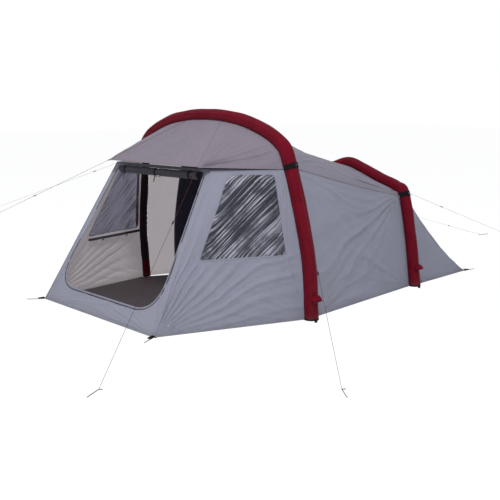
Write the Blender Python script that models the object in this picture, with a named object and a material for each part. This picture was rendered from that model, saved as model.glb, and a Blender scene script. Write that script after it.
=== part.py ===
"""Inflatable two-arch tunnel tent with a sloping porch and a canopy.

Metres, +Z up. The door looks along -Y and the sleeping end is at +Y. The origin lies on the
ground midway between the feet of the front arch.
"""
import math

import bmesh
import bpy
from mathutils import Vector

# Front arch: the centreline of its sleeve, right half, from the foot to the crown
FRONT_FOOT_HALF = 1.42
FRONT_KNEE_HALF = 1.405
FRONT_KNEE_HEIGHT = 0.62
FRONT_STRAP_HALF = 1.225
FRONT_STRAP_HEIGHT = 1.40
FRONT_SHOULDER_HALF = 1.075
FRONT_SHOULDER_HEIGHT = 1.63
FRONT_CROWN_HALF = 0.68
FRONT_CROWN_HEIGHT = 1.785
FRONT_SEAM_HALF = 0.30
FRONT_SEAM_HEIGHT = 1.845
FRONT_CROWN_TOP = 1.857
FRONT_LEAN = 0.063
FRONT_BEAM_RADIUS = 0.066

# Rear arch, in the same way
REAR_ARCH_Y = 1.906
REAR_FOOT_HALF = 1.03
REAR_KNEE_HALF = 0.955
REAR_KNEE_HEIGHT = 0.52
REAR_STRAP_HALF = 0.850
REAR_STRAP_HEIGHT = 0.985
REAR_SHOULDER_HALF = 0.745
REAR_SHOULDER_HEIGHT = 1.068
REAR_CROWN_HALF = 0.47
REAR_CROWN_HEIGHT = 1.155
REAR_SEAM_HALF = 0.22
REAR_SEAM_HEIGHT = 1.245
REAR_CROWN_TOP = 1.30
REAR_LEAN = 0.0
REAR_BEAM_RADIUS = 0.061

# Sleeves and bladders
SLEEVE_WALL = 0.0025
BLADDER_CLEARANCE = 0.0008
BEAM_SIDES = 10
SPAN_STEPS = 3
GROUND_GAP = 0.0005

# Fly sheet
CLOTH = 0.0025
SEAM_TURN = 3 * math.pi / BEAM_SIDES
BEAM_SEAM_GAP = 0.0005
MITRE_LIMIT = 1.6
SEAM_GAP = 0.0003
ROOF_SAG = 0.030
REAR_SAG = 0.085
BODY_ROWS = 4
PANEL_STEPS = 2 * SPAN_STEPS
ARC_HALF = SPAN_STEPS - 1

# Porch
PORCH_CORNER_HALF = 1.02
PORCH_CORNER_Y = -1.47
PORCH_TOP_HALF = 0.82
PORCH_TOP_Y = -0.68
PORCH_TOP_HEIGHT = 1.385
CANOPY_TIP_HALF = 0.778
CANOPY_TIP_Y = -0.805
CANOPY_TIP_HEIGHT = 1.410
CANOPY_GAP = 0.008
DOOR_SIDE_MARGIN = 0.09
DOOR_SILL = 0.20
DOOR_TOP_MARGIN = 0.03
DOOR_CORNER = 0.36
WINDOW_ARCH_MARGIN = 0.085
WINDOW_CORNER_MARGIN = 0.17
WINDOW_SILL = 0.60
WINDOW_TOP_MARGIN = 0.045
WINDOW_CORNER = 0.05

# Rear end
REAR_CORNER_HALF = 0.82
REAR_CORNER_Y = 3.036

# Inner tent and floors
INNER_FRONT_Y = 0.30
INNER_REAR_Y = 2.70
INNER_CLEARANCE = 0.075
INNER_WALL_GAP = 0.0012
INNER_END_HEIGHT = 0.23
INNER_ROWS = 3
INNER_END_ROWS = 2
BATHTUB_RIM = 0.15
FLOOR_THICKNESS = 0.0015
FLOOR_MARGIN = 0.025

# Straps, valves and hoods
STRAP_WIDTH = 0.05
STRAP_THICKNESS = 0.003
STRAP_HALF_TURN = 6
VALVE_HEIGHT = 0.19
VALVE_NECK = 0.0150
VALVE_BORE = 0.0090
VALVE_FLANGE = 0.024
VALVE_FLANGE_THICKNESS = 0.003
VALVE_PROUD = 0.014
VALVE_FIT = 0.0008
VALVE_FOOT = 0.0003
VALVE_SIDES = 16
CAP_TONGUE_FROM = -0.8
CAP_THICKNESS = 0.005
CAP_KNUCKLE = 0.0025
HOOD_RADIUS = 0.056
HOOD_REACH = 0.064
HOOD_CLOTH = 0.002
HOOD_FIT = 0.0008

# Rolled cloth
DOOR_ROLL_RADIUS = 0.045
DOOR_ROLL_HALF = 0.68
DOOR_ROLL_TURNS = 3
ROLL_CLOTH = 0.0035
TIE_WIDTH = 0.018
TIE_SIDES = 20
TIE_THICKNESS = 0.002
TIE_FIT = 0.0005
DOOR_TIE_SPACING = 0.56
CURTAIN_ROLL_RADIUS = 0.022
CURTAIN_ROLL_TURNS = 2
CURTAIN_ROLL_DROP = 0.03
CURTAIN_GAP = 0.0003

# Door zip
ZIP_OFFSET = 0.016
ZIP_WIDTH = 0.009
ZIP_THICKNESS = 0.0025
ZIP_STAND_OFF = 0.0003
SLIDER_LENGTH = 0.016
SLIDER_WIDTH = 0.011
SLIDER_THICKNESS = 0.006
SLIDER_FROM_TOP = 0.16
PULL_LENGTH = 0.034
PULL_WIDTH = 0.007
PULL_THICKNESS = 0.0016

# Guy lines, runners and pegs
LINE_DIAMETER = 0.003
LINE_START = 0.0020
TIP_START = 0.0006
LINE_STEPS = 15
RUNNER_LENGTH = 0.034
RUNNER_WIDTH = 0.014
RUNNER_THICKNESS = 0.006
RUNNER_HOLE = 0.0024
PEG_DIAMETER = 0.006
PEG_LENGTH = 0.18
PEG_HOOK = 0.028
CORNER_PEG_SEAT = 0.0008
GUY_PEG_SEAT = 0.0018

FRONT_GUY_END = Vector((1.946, -2.525, 0.006))
SIDE_GUY_END = Vector((3.039, -1.233, 0.006))
FRONT_LEFT_GUY_END = Vector((-1.712, -1.719, 0.804))
SIDE_LEFT_GUY_END = Vector((-2.82, -1.24, 0.752))
REAR_RIGHT_GUY_END = Vector((0.85, 3.86, 0.355))
REAR_LEFT_GUY_END = Vector((-0.83, 5.60, 0.006))

FLY_GREY = (0.30, 0.31, 0.37)
CANOPY_GREY = (0.26, 0.235, 0.28)
SLEEVE_RED = (0.21, 0.008, 0.022)
BLADDER_WHITE = (0.75, 0.75, 0.74)
STRAP_BLACK = (0.012, 0.012, 0.014)
PLASTIC_BLACK = (0.02, 0.02, 0.022)
WINDOW_CLEAR = (0.62, 0.65, 0.70)
INNER_NAVY = (0.016, 0.018, 0.036)
CURTAIN_GREY = (0.06, 0.055, 0.065)
FLOOR_BROWN = (0.075, 0.058, 0.062)
METAL_GREY = (0.35, 0.35, 0.36)
LINE_GREY = (0.42, 0.42, 0.43)
LINE_RED = (0.24, 0.05, 0.05)


def clear_scene():
    """Remove every object from the open scene."""
    for item in list(bpy.data.objects):
        bpy.data.objects.remove(item, do_unlink=True)


def finish(name, color, roughness, metallic=0.0, alpha=1.0):
    """A plain Principled material."""
    material = bpy.data.materials.new(name)
    material.use_nodes = True
    shader = material.node_tree.nodes["Principled BSDF"]
    shader.inputs["Base Color"].default_value = (*color, 1.0)
    shader.inputs["Roughness"].default_value = roughness
    shader.inputs["Metallic"].default_value = metallic
    shader.inputs["Alpha"].default_value = alpha
    return material


def add_mesh(name, mesh_data, material):
    """Turn a bmesh into a named object, its faces pointing out."""
    bmesh.ops.recalc_face_normals(mesh_data, faces=mesh_data.faces)
    if mesh_data.calc_volume(signed=True) < 0:
        bmesh.ops.reverse_faces(mesh_data, faces=mesh_data.faces)
    mesh = bpy.data.meshes.new(name)
    mesh_data.to_mesh(mesh)
    mesh_data.free()
    mesh.materials.append(material)
    mesh.shade_smooth()
    mesh.set_sharp_from_angle(angle=math.radians(35))
    item = bpy.data.objects.new(name, mesh)
    bpy.context.collection.objects.link(item)
    return item


def add_cord(name, points, diameter, material, resolution=2):
    """A tube on a poly curve, with filled caps."""
    curve = bpy.data.curves.new(name, "CURVE")
    curve.dimensions = "3D"
    curve.bevel_depth = diameter / 2
    curve.bevel_resolution = resolution
    curve.use_fill_caps = True
    spline = curve.splines.new("POLY")
    spline.points.add(len(points) - 1)
    for slot, point in zip(spline.points, points):
        slot.co = (*point, 1.0)
    curve.materials.append(material)
    item = bpy.data.objects.new(name, curve)
    bpy.context.collection.objects.link(item)
    return item


def mirror_x(point):
    """The same place on the left side."""
    return Vector((-point[0], point[1], point[2]))


def smooth_path(points, steps):
    """A Catmull-Rom curve through the points, with the given steps in each span."""
    first = points[0] * 2 - points[1]
    last = points[-1] * 2 - points[-2]
    chain = [first, *points, last]
    path = []
    for index in range(1, len(chain) - 2):
        before, start, end, after = chain[index - 1:index + 3]
        for step in range(steps):
            t = step / steps
            path.append(0.5 * (2 * start + (end - before) * t
                               + (2 * before - 5 * start + 4 * end - after) * t * t
                               + (3 * start - before - 3 * end + after) * t ** 3))
    path.append(points[-1].copy())
    return path


class Arch:
    """The leaning plane curve of one air beam."""

    def __init__(self, half_points, crown_top, base_y, lean, radius):
        half = [Vector((x, 0.0, z)) for x, z in half_points]
        crown = [Vector((0.0, 0.0, crown_top))]
        other = [mirror_x(point) for point in reversed(half)]
        self.base_y = base_y
        self.lean = lean
        self.radius = radius
        self.inset = radius * math.cos(SEAM_TURN)
        flat = smooth_path(half + crown + other, SPAN_STEPS)
        self.normals = [self.outward(flat, index) for index in range(len(flat))]
        self.flat = flat

    @staticmethod
    def outward(flat, index):
        """The in-plane normal, away from the inside of the tent."""
        low = max(index - 1, 0)
        high = min(index + 1, len(flat) - 1)
        along = flat[high] - flat[low]
        return Vector((along.z, 0.0, -along.x)).normalized()

    def place(self, flat_point, forward=0.0):
        """Lean a point of the plane curve and shift it square to the arch's plane."""
        y = self.base_y - self.lean * flat_point.z
        square = Vector((0.0, 1.0, self.lean)).normalized()
        return Vector((flat_point.x, y, flat_point.z)) + square * forward

    def centre(self, index):
        """A point on the sleeve's centreline."""
        return self.place(self.flat[index])

    def seam(self, side):
        """Where the fly meets the sleeve: side is -1 in front of it and 1 behind it."""
        reach = self.radius * math.sin(SEAM_TURN) + BEAM_SEAM_GAP
        points = []
        for index, point in enumerate(self.flat):
            place = self.place(point - self.normals[index] * self.inset, side * reach)
            if place.z < GROUND_GAP:
                tangent = self.frame(index)[0]
                place += tangent * ((GROUND_GAP - place.z) / tangent.z)
            points.append(place)
        return points

    def seat_edge(self, shell, side):
        """Tell a shell which of its points lie on this sleeve, on the right and on the left."""
        points = self.seam(side)
        shell.seat(points, self.normals)
        shell.seat([mirror_x(point) for point in points],
                   [mirror_x(normal) for normal in self.normals])

    def frame(self, index):
        """Tangent, outward normal and side direction at one point of the sleeve."""
        low = self.centre(max(index - 1, 0))
        high = self.centre(min(index + 1, len(self.flat) - 1))
        tangent = (high - low).normalized()
        outward = self.normals[index].copy()
        outward = (outward - tangent * outward.dot(tangent)).normalized()
        return tangent, outward, tangent.cross(outward)


STRAP_INDEX = 2 * SPAN_STEPS
SEAM_INDEX = 5 * SPAN_STEPS
LAST_INDEX = 12 * SPAN_STEPS

FRONT_ARCH = Arch(
    [(FRONT_FOOT_HALF, 0.0), (FRONT_KNEE_HALF, FRONT_KNEE_HEIGHT),
     (FRONT_STRAP_HALF, FRONT_STRAP_HEIGHT), (FRONT_SHOULDER_HALF, FRONT_SHOULDER_HEIGHT),
     (FRONT_CROWN_HALF, FRONT_CROWN_HEIGHT), (FRONT_SEAM_HALF, FRONT_SEAM_HEIGHT)],
    FRONT_CROWN_TOP, 0.0, FRONT_LEAN, FRONT_BEAM_RADIUS)
REAR_ARCH = Arch(
    [(REAR_FOOT_HALF, 0.0), (REAR_KNEE_HALF, REAR_KNEE_HEIGHT),
     (REAR_STRAP_HALF, REAR_STRAP_HEIGHT), (REAR_SHOULDER_HALF, REAR_SHOULDER_HEIGHT),
     (REAR_CROWN_HALF, REAR_CROWN_HEIGHT), (REAR_SEAM_HALF, REAR_SEAM_HEIGHT)],
    REAR_CROWN_TOP, REAR_ARCH_Y, REAR_LEAN, REAR_BEAM_RADIUS)


def beam_rings(mesh_data, arch, radius, base):
    """Rings of vertices round the arch, their feet cut level at the base height."""
    rings = []
    last = len(arch.flat) - 1
    for index in range(last + 1):
        tangent, outward, sideways = arch.frame(index)
        ring = []
        for side in range(BEAM_SIDES):
            angle = 2 * math.pi * (side + 0.5) / BEAM_SIDES
            offset = outward * math.cos(angle) + sideways * math.sin(angle)
            point = arch.centre(index) + offset * radius
            if index in (0, last):
                point += tangent * ((base - point.z) / tangent.z)
            ring.append(mesh_data.verts.new(point))
        rings.append(ring)
    return rings


def join_rings(mesh_data, first, second):
    """Quads between two rings of equal count."""
    count = len(first)
    for index in range(count):
        after = (index + 1) % count
        mesh_data.faces.new((first[index], first[after], second[after], second[index]))


def beam_sleeve(name, arch, material):
    """A hollow sleeve, open at both feet, with a hole for its valve."""
    mesh_data = bmesh.new()
    outer = beam_rings(mesh_data, arch, arch.radius, GROUND_GAP)
    inner = beam_rings(mesh_data, arch, arch.radius - SLEEVE_WALL, GROUND_GAP)
    for rings in (outer, inner):
        for first, second in zip(rings, rings[1:]):
            join_rings(mesh_data, first, second)
    join_rings(mesh_data, outer[0], inner[0])
    join_rings(mesh_data, outer[-1], inner[-1])
    sleeve = add_mesh(name, mesh_data, material)
    cutter = valve_cutter(name + "_hole", arch)
    cut = sleeve.modifiers.new("valve_hole", "BOOLEAN")
    cut.operation = "DIFFERENCE"
    cut.solver = "EXACT"
    cut.object = cutter
    return sleeve


def air_bladder(name, arch, material):
    """The closed air tube inside a sleeve."""
    mesh_data = bmesh.new()
    radius = arch.radius - SLEEVE_WALL - BLADDER_CLEARANCE
    rings = beam_rings(mesh_data, arch, radius, GROUND_GAP)
    for first, second in zip(rings, rings[1:]):
        join_rings(mesh_data, first, second)
    mesh_data.faces.new(rings[0])
    mesh_data.faces.new(rings[-1])
    return add_mesh(name, mesh_data, material)


class ValveSeat:
    """The place on a right leg where the valve's axis leaves the sleeve."""

    def __init__(self, arch):
        index = 0
        while arch.centre(index + 1).z < VALVE_HEIGHT:
            index += 1
        low = arch.centre(index)
        high = arch.centre(index + 1)
        share = (VALVE_HEIGHT - low.z) / (high.z - low.z)
        outward = arch.normals[index].lerp(arch.normals[index + 1], share)
        self.up = (high - low).normalized()
        self.out = (outward - self.up * outward.dot(self.up)).normalized()
        self.across = self.up.cross(self.out)
        flat_radius = arch.radius * math.cos(math.pi / BEAM_SIDES)
        self.origin = low.lerp(high, share) + self.out * flat_radius

    def at(self, along, across, up):
        """A point out from the sleeve, across it and up it."""
        return self.origin + self.out * along + self.across * across + self.up * up

    def circle(self, along, radius, steps):
        """Points round the valve's axis."""
        turn = 2 * math.pi / steps
        return [self.at(along, radius * math.cos(turn * step), radius * math.sin(turn * step))
                for step in range(steps)]


def valve_cutter(name, arch):
    """The round hole that the valve's neck passes through."""
    seat = ValveSeat(arch)
    mesh_data = bmesh.new()
    ends = []
    for along in (-arch.radius / 2, arch.radius / 2):
        circle = seat.circle(along, VALVE_NECK + VALVE_FIT, VALVE_SIDES)
        ends.append([mesh_data.verts.new(point) for point in circle])
    join_rings(mesh_data, *ends)
    mesh_data.faces.new(ends[0])
    mesh_data.faces.new(ends[1])
    cutter = add_mesh(name, mesh_data, finish(name, STRAP_BLACK, 0.5))
    cutter.hide_render = True
    cutter.display_type = "WIRE"
    return cutter


def air_valve(name, arch, material):
    """A flanged neck with a bore, standing on the bladder through the sleeve."""
    seat = ValveSeat(arch)
    flange_top = VALVE_FIT + VALVE_FLANGE_THICKNESS
    profile = [(-VALVE_FOOT, VALVE_BORE), (-VALVE_FOOT, VALVE_NECK), (VALVE_FIT, VALVE_NECK),
               (VALVE_FIT, VALVE_FLANGE), (flange_top, VALVE_FLANGE), (flange_top, VALVE_NECK),
               (VALVE_PROUD, VALVE_NECK), (VALVE_PROUD, VALVE_BORE)]
    mesh_data = bmesh.new()
    rings = []
    for along, radius in profile:
        rings.append([mesh_data.verts.new(point)
                      for point in seat.circle(along, radius, VALVE_SIDES)])
    for first, second in zip(rings, rings[1:] + rings[:1]):
        join_rings(mesh_data, first, second)
    return add_mesh(name, mesh_data, material)


def cap_axis(arch):
    """The cap's hinge line, just below the neck."""
    along = VALVE_PROUD + VALVE_FIT + CAP_THICKNESS / 2
    below = VALVE_NECK + VALVE_FIT + CAP_KNUCKLE
    return ValveSeat(arch).at(along, 0.0, -below)


def valve_cap(name, arch, material):
    """A round lid with a hinge knuckle, its origin on the hinge line."""
    seat = ValveSeat(arch)
    axis = cap_axis(arch)
    start = VALVE_PROUD + VALVE_FIT
    mesh_data = bmesh.new()
    ends = []
    for along in (start, start + CAP_THICKNESS):
        ring = []
        for step in range(VALVE_SIDES):
            angle = 2 * math.pi * step / VALVE_SIDES
            rise = VALVE_NECK * math.sin(angle)
            if math.sin(angle) < CAP_TONGUE_FROM:
                rise = -(VALVE_NECK + VALVE_FIT + 2 * CAP_KNUCKLE)
            place = seat.at(along, VALVE_NECK * math.cos(angle), rise)
            ring.append(mesh_data.verts.new(place - axis))
        ends.append(ring)
    join_rings(mesh_data, *ends)
    mesh_data.faces.new(ends[0])
    mesh_data.faces.new(ends[1])
    cap = add_mesh(name, mesh_data, material)
    cap.location = axis
    return cap


def valve_hood(name, arch, material):
    """The upper half of a cloth dome over the valve, open below."""
    seat = ValveSeat(arch)
    mesh_data = bmesh.new()
    around = 8
    out = 4
    skins = []
    for inset in (0.0, HOOD_CLOTH):
        rows = []
        for step in range(out + 1):
            lift = math.radians(84.0 * step / out)
            radius = (HOOD_RADIUS - inset) * math.cos(lift)
            along = HOOD_FIT + (HOOD_REACH - inset) * math.sin(lift)
            row = []
            for turn in range(around + 1):
                angle = math.pi * turn / around
                place = seat.at(along, radius * math.cos(angle), radius * math.sin(angle))
                row.append(mesh_data.verts.new(place))
            rows.append(row)
        skins.append(rows)
    close_skins(mesh_data, *skins)
    return add_mesh(name, mesh_data, material)


def close_skins(mesh_data, outer, inner):
    """Fill two equal grids and the rim between them."""
    for rows in (outer, inner):
        for first, second in zip(rows, rows[1:]):
            for index in range(len(first) - 1):
                mesh_data.faces.new((first[index], first[index + 1],
                                     second[index + 1], second[index]))
    rims = []
    for rows in (outer, inner):
        right = [row[-1] for row in rows[1:-1]]
        left = [row[0] for row in reversed(rows[1:-1])]
        rims.append(rows[0] + right + list(reversed(rows[-1])) + left)
    join_rings(mesh_data, *rims)


def strap_band(name, arch, index, material):
    """A webbing band round the outer side of a sleeve, following its bend."""
    mesh_data = bmesh.new()
    inner_radius = arch.radius + VALVE_FIT
    quarter = math.pi / BEAM_SIDES
    skins = []
    for radius in (inner_radius + STRAP_THICKNESS, inner_radius):
        rows = []
        for ahead in (-1, 0, 1):
            _, outward, sideways = arch.frame(index)
            centre = arch.centre(index)
            if ahead:
                _, next_outward, next_sideways = arch.frame(index + ahead)
                next_centre = arch.centre(index + ahead)
                share = STRAP_WIDTH / 2 / (next_centre - centre).length
                centre = centre.lerp(next_centre, share)
                outward = outward.lerp(next_outward, share).normalized()
                sideways = sideways.lerp(next_sideways, share).normalized()
            row = []
            for step in range(-STRAP_HALF_TURN, STRAP_HALF_TURN + 1):
                offset = outward * math.cos(step * quarter) + sideways * math.sin(step * quarter)
                row.append(mesh_data.verts.new(centre + offset * radius))
            rows.append(row)
        skins.append(rows)
    close_skins(mesh_data, *skins)
    return add_mesh(name, mesh_data, material)


class ClothShell:
    """Sheets that share their seams, so that each sheet is mitred against the next."""

    def __init__(self):
        self.mesh = bmesh.new()
        self.labels = self.mesh.faces.layers.int.new("sheet")
        self.names = []
        self.seats = []

    def seat(self, points, normals):
        """Let the cloth's edge on a sleeve take its thickness along the arch's own normal."""
        self.seats += list(zip(points, normals))

    def seated(self, place):
        """The arch's normal where a point lies on a sleeve's seam, or nothing."""
        for point, normal in self.seats:
            if (point - place).length < SEAM_GAP:
                return normal
        return None

    def label(self, name):
        """The number of a sheet, new or known."""
        if name not in self.names:
            self.names.append(name)
        return self.names.index(name)

    def grid(self, name, rows):
        """Add a grid of points, as quads, or triangles where two points meet."""
        number = self.label(name)
        verts = [[self.mesh.verts.new(point) for point in row] for row in rows]
        for first, second in zip(verts, verts[1:]):
            for index in range(len(first) - 1):
                corners = [first[index], first[index + 1], second[index + 1], second[index]]
                self.mesh.faces.new(corners)[self.labels] = number

    def ring(self, name, outer, inner, steps):
        """Add the band between two closed loops of equal count."""
        rows = []
        for step in range(steps + 1):
            share = step / steps
            row = [a.lerp(b, share) for a, b in zip(outer, inner)]
            rows.append(row + [row[0]])
        self.grid(name, rows)

    def weld(self):
        """Join the sheets along their seams, in triangles that both sides of a sheet share."""
        bmesh.ops.remove_doubles(self.mesh, verts=self.mesh.verts, dist=0.0001)
        bmesh.ops.dissolve_degenerate(self.mesh, dist=0.0001, edges=self.mesh.edges)
        bmesh.ops.triangulate(self.mesh, faces=self.mesh.faces[:], quad_method="SHORT_EDGE")
        bmesh.ops.recalc_face_normals(self.mesh, faces=self.mesh.faces)
        self.mesh.normal_update()

    def turn_outward(self, inside):
        """Point every face away from a point inside."""
        face = max(self.mesh.faces, key=lambda item: item.calc_area())
        if (face.calc_center_median() - inside).dot(face.normal) < 0:
            bmesh.ops.reverse_faces(self.mesh, faces=self.mesh.faces)
            self.mesh.normal_update()

    def sheet(self, name, material, lowest=GROUND_GAP):
        """Make one sheet a closed solid, its thickness inwards, none of it under a height."""
        number = self.names.index(name)
        faces = [face for face in self.mesh.faces if face[self.labels] == number]
        verts = {vert for face in faces for vert in face.verts}
        edges = {edge for face in faces for edge in face.edges}
        rim = {edge for edge in edges
               if sum(face[self.labels] == number for face in edge.link_faces) == 1}
        rim_verts = {vert for edge in rim for vert in edge.verts}
        sheet = bmesh.new()
        outer = {}
        inner = {}
        for vert in sorted(verts, key=lambda item: item.index):
            shift = Vector()
            if vert in rim_verts:
                near = [face.calc_center_median() for face in vert.link_faces
                        if face[self.labels] == number]
                middle = sum(near, Vector()) / len(near)
                shift = (middle - vert.co).normalized() * SEAM_GAP
            depth = vert.normal * CLOTH * min(vert.calc_shell_factor(), MITRE_LIMIT)
            seat = self.seated(vert.co)
            if seat:
                depth = seat * CLOTH
            outer[vert] = sheet.verts.new(vert.co + shift)
            inner[vert] = sheet.verts.new(vert.co + shift - depth)
        for face in faces:
            sheet.faces.new([outer[vert] for vert in face.verts])
            sheet.faces.new([inner[vert] for vert in reversed(face.verts)])
        for edge in rim:
            first, second = edge.verts
            sheet.faces.new((outer[first], outer[second], inner[second], inner[first]))
        for vert in sheet.verts:
            vert.co.z = max(vert.co.z, lowest)
        return add_mesh(name, sheet, material)


def between(start, end, steps):
    """Evenly spaced points from start to end."""
    return [start.lerp(end, step / steps) for step in range(steps + 1)]


def rounded_loop(corners, radii):
    """A closed loop with PANEL_STEPS steps a side and a rounded corner between sides."""
    count = len(corners)
    loop = []
    for index in range(count):
        corner = corners[index]
        after = corners[(index + 1) % count]
        before = corners[index - 1]
        beyond = corners[(index + 2) % count]
        along = (after - corner).normalized()
        leave = corner_arc(corner, (before - corner).normalized(), along, radii[index])
        arrive = corner_arc(after, -along, (beyond - after).normalized(),
                            radii[(index + 1) % count])
        straight = between(leave[-1], arrive[0], 2)
        loop += leave[ARC_HALF:] + straight[1:2] + arrive[:ARC_HALF]
    return loop


def corner_arc(corner, back, ahead, radius):
    """The points round one corner, its middle one on the diagonal."""
    start = corner + back * radius
    end = corner + ahead * radius
    arc = []
    for step in range(2 * ARC_HALF + 1):
        t = step / (2 * ARC_HALF)
        arc.append(start * (1 - t) ** 2 + corner * 2 * t * (1 - t) + end * t * t)
    return arc


PORCH_CORNER = Vector((PORCH_CORNER_HALF, PORCH_CORNER_Y, GROUND_GAP))
PORCH_TOP = Vector((PORCH_TOP_HALF, PORCH_TOP_Y, PORCH_TOP_HEIGHT))
CANOPY_TIP = Vector((CANOPY_TIP_HALF, CANOPY_TIP_Y, CANOPY_TIP_HEIGHT))
REAR_CORNER = Vector((REAR_CORNER_HALF, REAR_CORNER_Y, GROUND_GAP))
PORCH_UP = (PORCH_TOP - PORCH_CORNER).normalized()
PORCH_FACE = Vector((1.0, 0.0, 0.0)).cross(
    Vector((0.0, PORCH_TOP.y - PORCH_CORNER.y, PORCH_TOP.z - PORCH_CORNER.z))).normalized()


def front_point(half_share, height):
    """A point of the porch's front panel at a height, across from left (-1) to right (1)."""
    edge = PORCH_CORNER.lerp(PORCH_TOP, (height - PORCH_CORNER.z) / (PORCH_TOP.z - PORCH_CORNER.z))
    return Vector((edge.x * half_share, edge.y, edge.z))


def door_corners(margin):
    """The corners of the door opening, drawn out by a margin: right foot, right top, left."""
    rise = PORCH_TOP.z - PORCH_CORNER.z
    slope = (PORCH_TOP - PORCH_CORNER).length / rise
    low = PORCH_CORNER.z + (DOOR_SILL - margin) / slope
    high = PORCH_TOP.z - DOOR_TOP_MARGIN / slope
    right_low = front_point(1.0, low)
    right_high = front_point(1.0, high)
    right_low.x -= DOOR_SIDE_MARGIN - margin
    right_high.x -= DOOR_SIDE_MARGIN - margin
    return [right_low, right_high, mirror_x(right_high), mirror_x(right_low)]


def door_loop():
    """The door opening's outline, in step with the front panel's own border."""
    radii = [DOOR_CORNER, WINDOW_CORNER, WINDOW_CORNER, DOOR_CORNER]
    return rounded_loop(door_corners(0.0), radii)


def wall_border(side):
    """The border of a porch wall: up the corner seam, back to the arch, down it, along the hem."""
    arch_side = FRONT_ARCH.seam(-1)[:STRAP_INDEX + 1]
    arch_side[-1] = arch_side[-1] - Vector((0.0, 0.0, CANOPY_GAP))
    border = between(PORCH_CORNER, PORCH_TOP, PANEL_STEPS)
    border += between(PORCH_TOP, arch_side[-1], PANEL_STEPS)[1:]
    border += list(reversed(arch_side))[1:]
    border += between(arch_side[0], PORCH_CORNER, PANEL_STEPS)[1:-1]
    if side < 0:
        border = [mirror_x(point) for point in border]
    return border


def window_corners():
    """The right window's corners: front foot, front top, arch top, arch foot."""
    arch_side = FRONT_ARCH.seam(-1)
    foot = arch_side[0]
    top = arch_side[STRAP_INDEX]
    low = WINDOW_SILL / PORCH_TOP.z
    high = 1.0 - WINDOW_TOP_MARGIN / PORCH_TOP.z
    corners = []
    for share in (low, high):
        front = PORCH_CORNER.lerp(PORCH_TOP, share)
        back = foot.lerp(top, share)
        along = (back - front).normalized()
        corners.append((front + along * WINDOW_CORNER_MARGIN, back - along * WINDOW_ARCH_MARGIN))
    (front_low, back_low), (front_high, back_high) = corners
    return [front_low, front_high, back_high, back_low]


def window_loop(side):
    """The window's outline, in step with the wall's border."""
    loop = rounded_loop(window_corners(), [WINDOW_CORNER] * 4)
    if side < 0:
        loop = [mirror_x(point) for point in loop]
    return loop


def fill_loop(shell, name, loop):
    """Fill a closed loop with rings that shrink to its middle."""
    middle = sum(loop, Vector()) / len(loop)
    shell.ring(name, loop, [point.lerp(middle, 0.55) for point in loop], 1)
    shell.ring(name, [point.lerp(middle, 0.55) for point in loop], [middle] * len(loop), 1)


def porch_shell():
    """The front panel with its door opening, both walls and both windows."""
    shell = ClothShell()
    right = between(PORCH_CORNER, PORCH_TOP, PANEL_STEPS)
    top = between(PORCH_TOP, mirror_x(PORCH_TOP), PANEL_STEPS)
    left = [mirror_x(point) for point in reversed(right)]
    foot = between(mirror_x(PORCH_CORNER), PORCH_CORNER, PANEL_STEPS)
    border = right + top[1:] + left[1:] + foot[1:-1]
    shell.ring("porch_front_panel", border, door_loop(), 2)
    for side, word in ((1, "right"), (-1, "left")):
        outline = window_loop(side)
        shell.ring("porch_wall_" + word, wall_border(side), outline, 2)
        fill_loop(shell, "window_" + word, outline)
    FRONT_ARCH.seat_edge(shell, -1)
    arch_top = FRONT_ARCH.seam(-1)[STRAP_INDEX] - Vector((0.0, 0.0, CANOPY_GAP))
    normal = FRONT_ARCH.normals[STRAP_INDEX]
    shell.seat([arch_top, mirror_x(arch_top)], [normal, mirror_x(normal)])
    shell.weld()
    shell.turn_outward(Vector((0.0, -0.5, 0.6)))
    return shell


def canopy_shell():
    """The canopy's top and its two side triangles, drawn to the guyed tips."""
    shell = ClothShell()
    seam = FRONT_ARCH.seam(-1)
    top_arch = seam[SEAM_INDEX:LAST_INDEX - SEAM_INDEX + 1]
    front = between(CANOPY_TIP, mirror_x(CANOPY_TIP), len(top_arch) - 1)
    rows = []
    for step in range(PANEL_STEPS + 1):
        share = step / PANEL_STEPS
        rows.append([a.lerp(b, share) for a, b in zip(front, top_arch)])
    shell.grid("canopy_top", rows)
    for side, word in ((1, "right"), (-1, "left")):
        arc = seam[STRAP_INDEX:SEAM_INDEX + 1]
        tip = CANOPY_TIP
        if side < 0:
            arc = [mirror_x(point) for point in arc]
            tip = mirror_x(CANOPY_TIP)
        rows = []
        for step in range(PANEL_STEPS + 1):
            rows.append([tip.lerp(point, step / PANEL_STEPS) for point in arc])
        shell.grid("canopy_side_" + word, rows)
    FRONT_ARCH.seat_edge(shell, -1)
    shell.weld()
    shell.turn_outward(Vector((0.0, -0.3, 0.8)))
    return shell


def body_rows(rows):
    """Rows of points from the front arch to the rear arch, drawn in between them."""
    front = FRONT_ARCH.seam(1)
    rear = REAR_ARCH.seam(-1)
    grid = []
    for step in range(rows + 1):
        share = step / rows
        sag = ROOF_SAG * 4 * share * (1 - share)
        row = []
        for index, (a, b) in enumerate(zip(front, rear)):
            normal = FRONT_ARCH.normals[index].lerp(REAR_ARCH.normals[index], share)
            point = a.lerp(b, share)
            lift = min(1.0, point.z / FRONT_KNEE_HEIGHT)
            row.append(point - normal * sag * lift)
        grid.append(row)
    return grid


def body_shell():
    """The roof and the two long walls between the arches."""
    shell = ClothShell()
    rows = body_rows(BODY_ROWS)
    far = LAST_INDEX - STRAP_INDEX
    shell.grid("fly_wall_right", [row[:STRAP_INDEX + 1] for row in rows])
    shell.grid("fly_roof", [row[STRAP_INDEX:far + 1] for row in rows])
    shell.grid("fly_wall_left", [row[far:] for row in rows])
    FRONT_ARCH.seat_edge(shell, 1)
    REAR_ARCH.seat_edge(shell, -1)
    shell.weld()
    shell.turn_outward(Vector((0.0, 0.9, 0.5)))
    return shell


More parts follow.
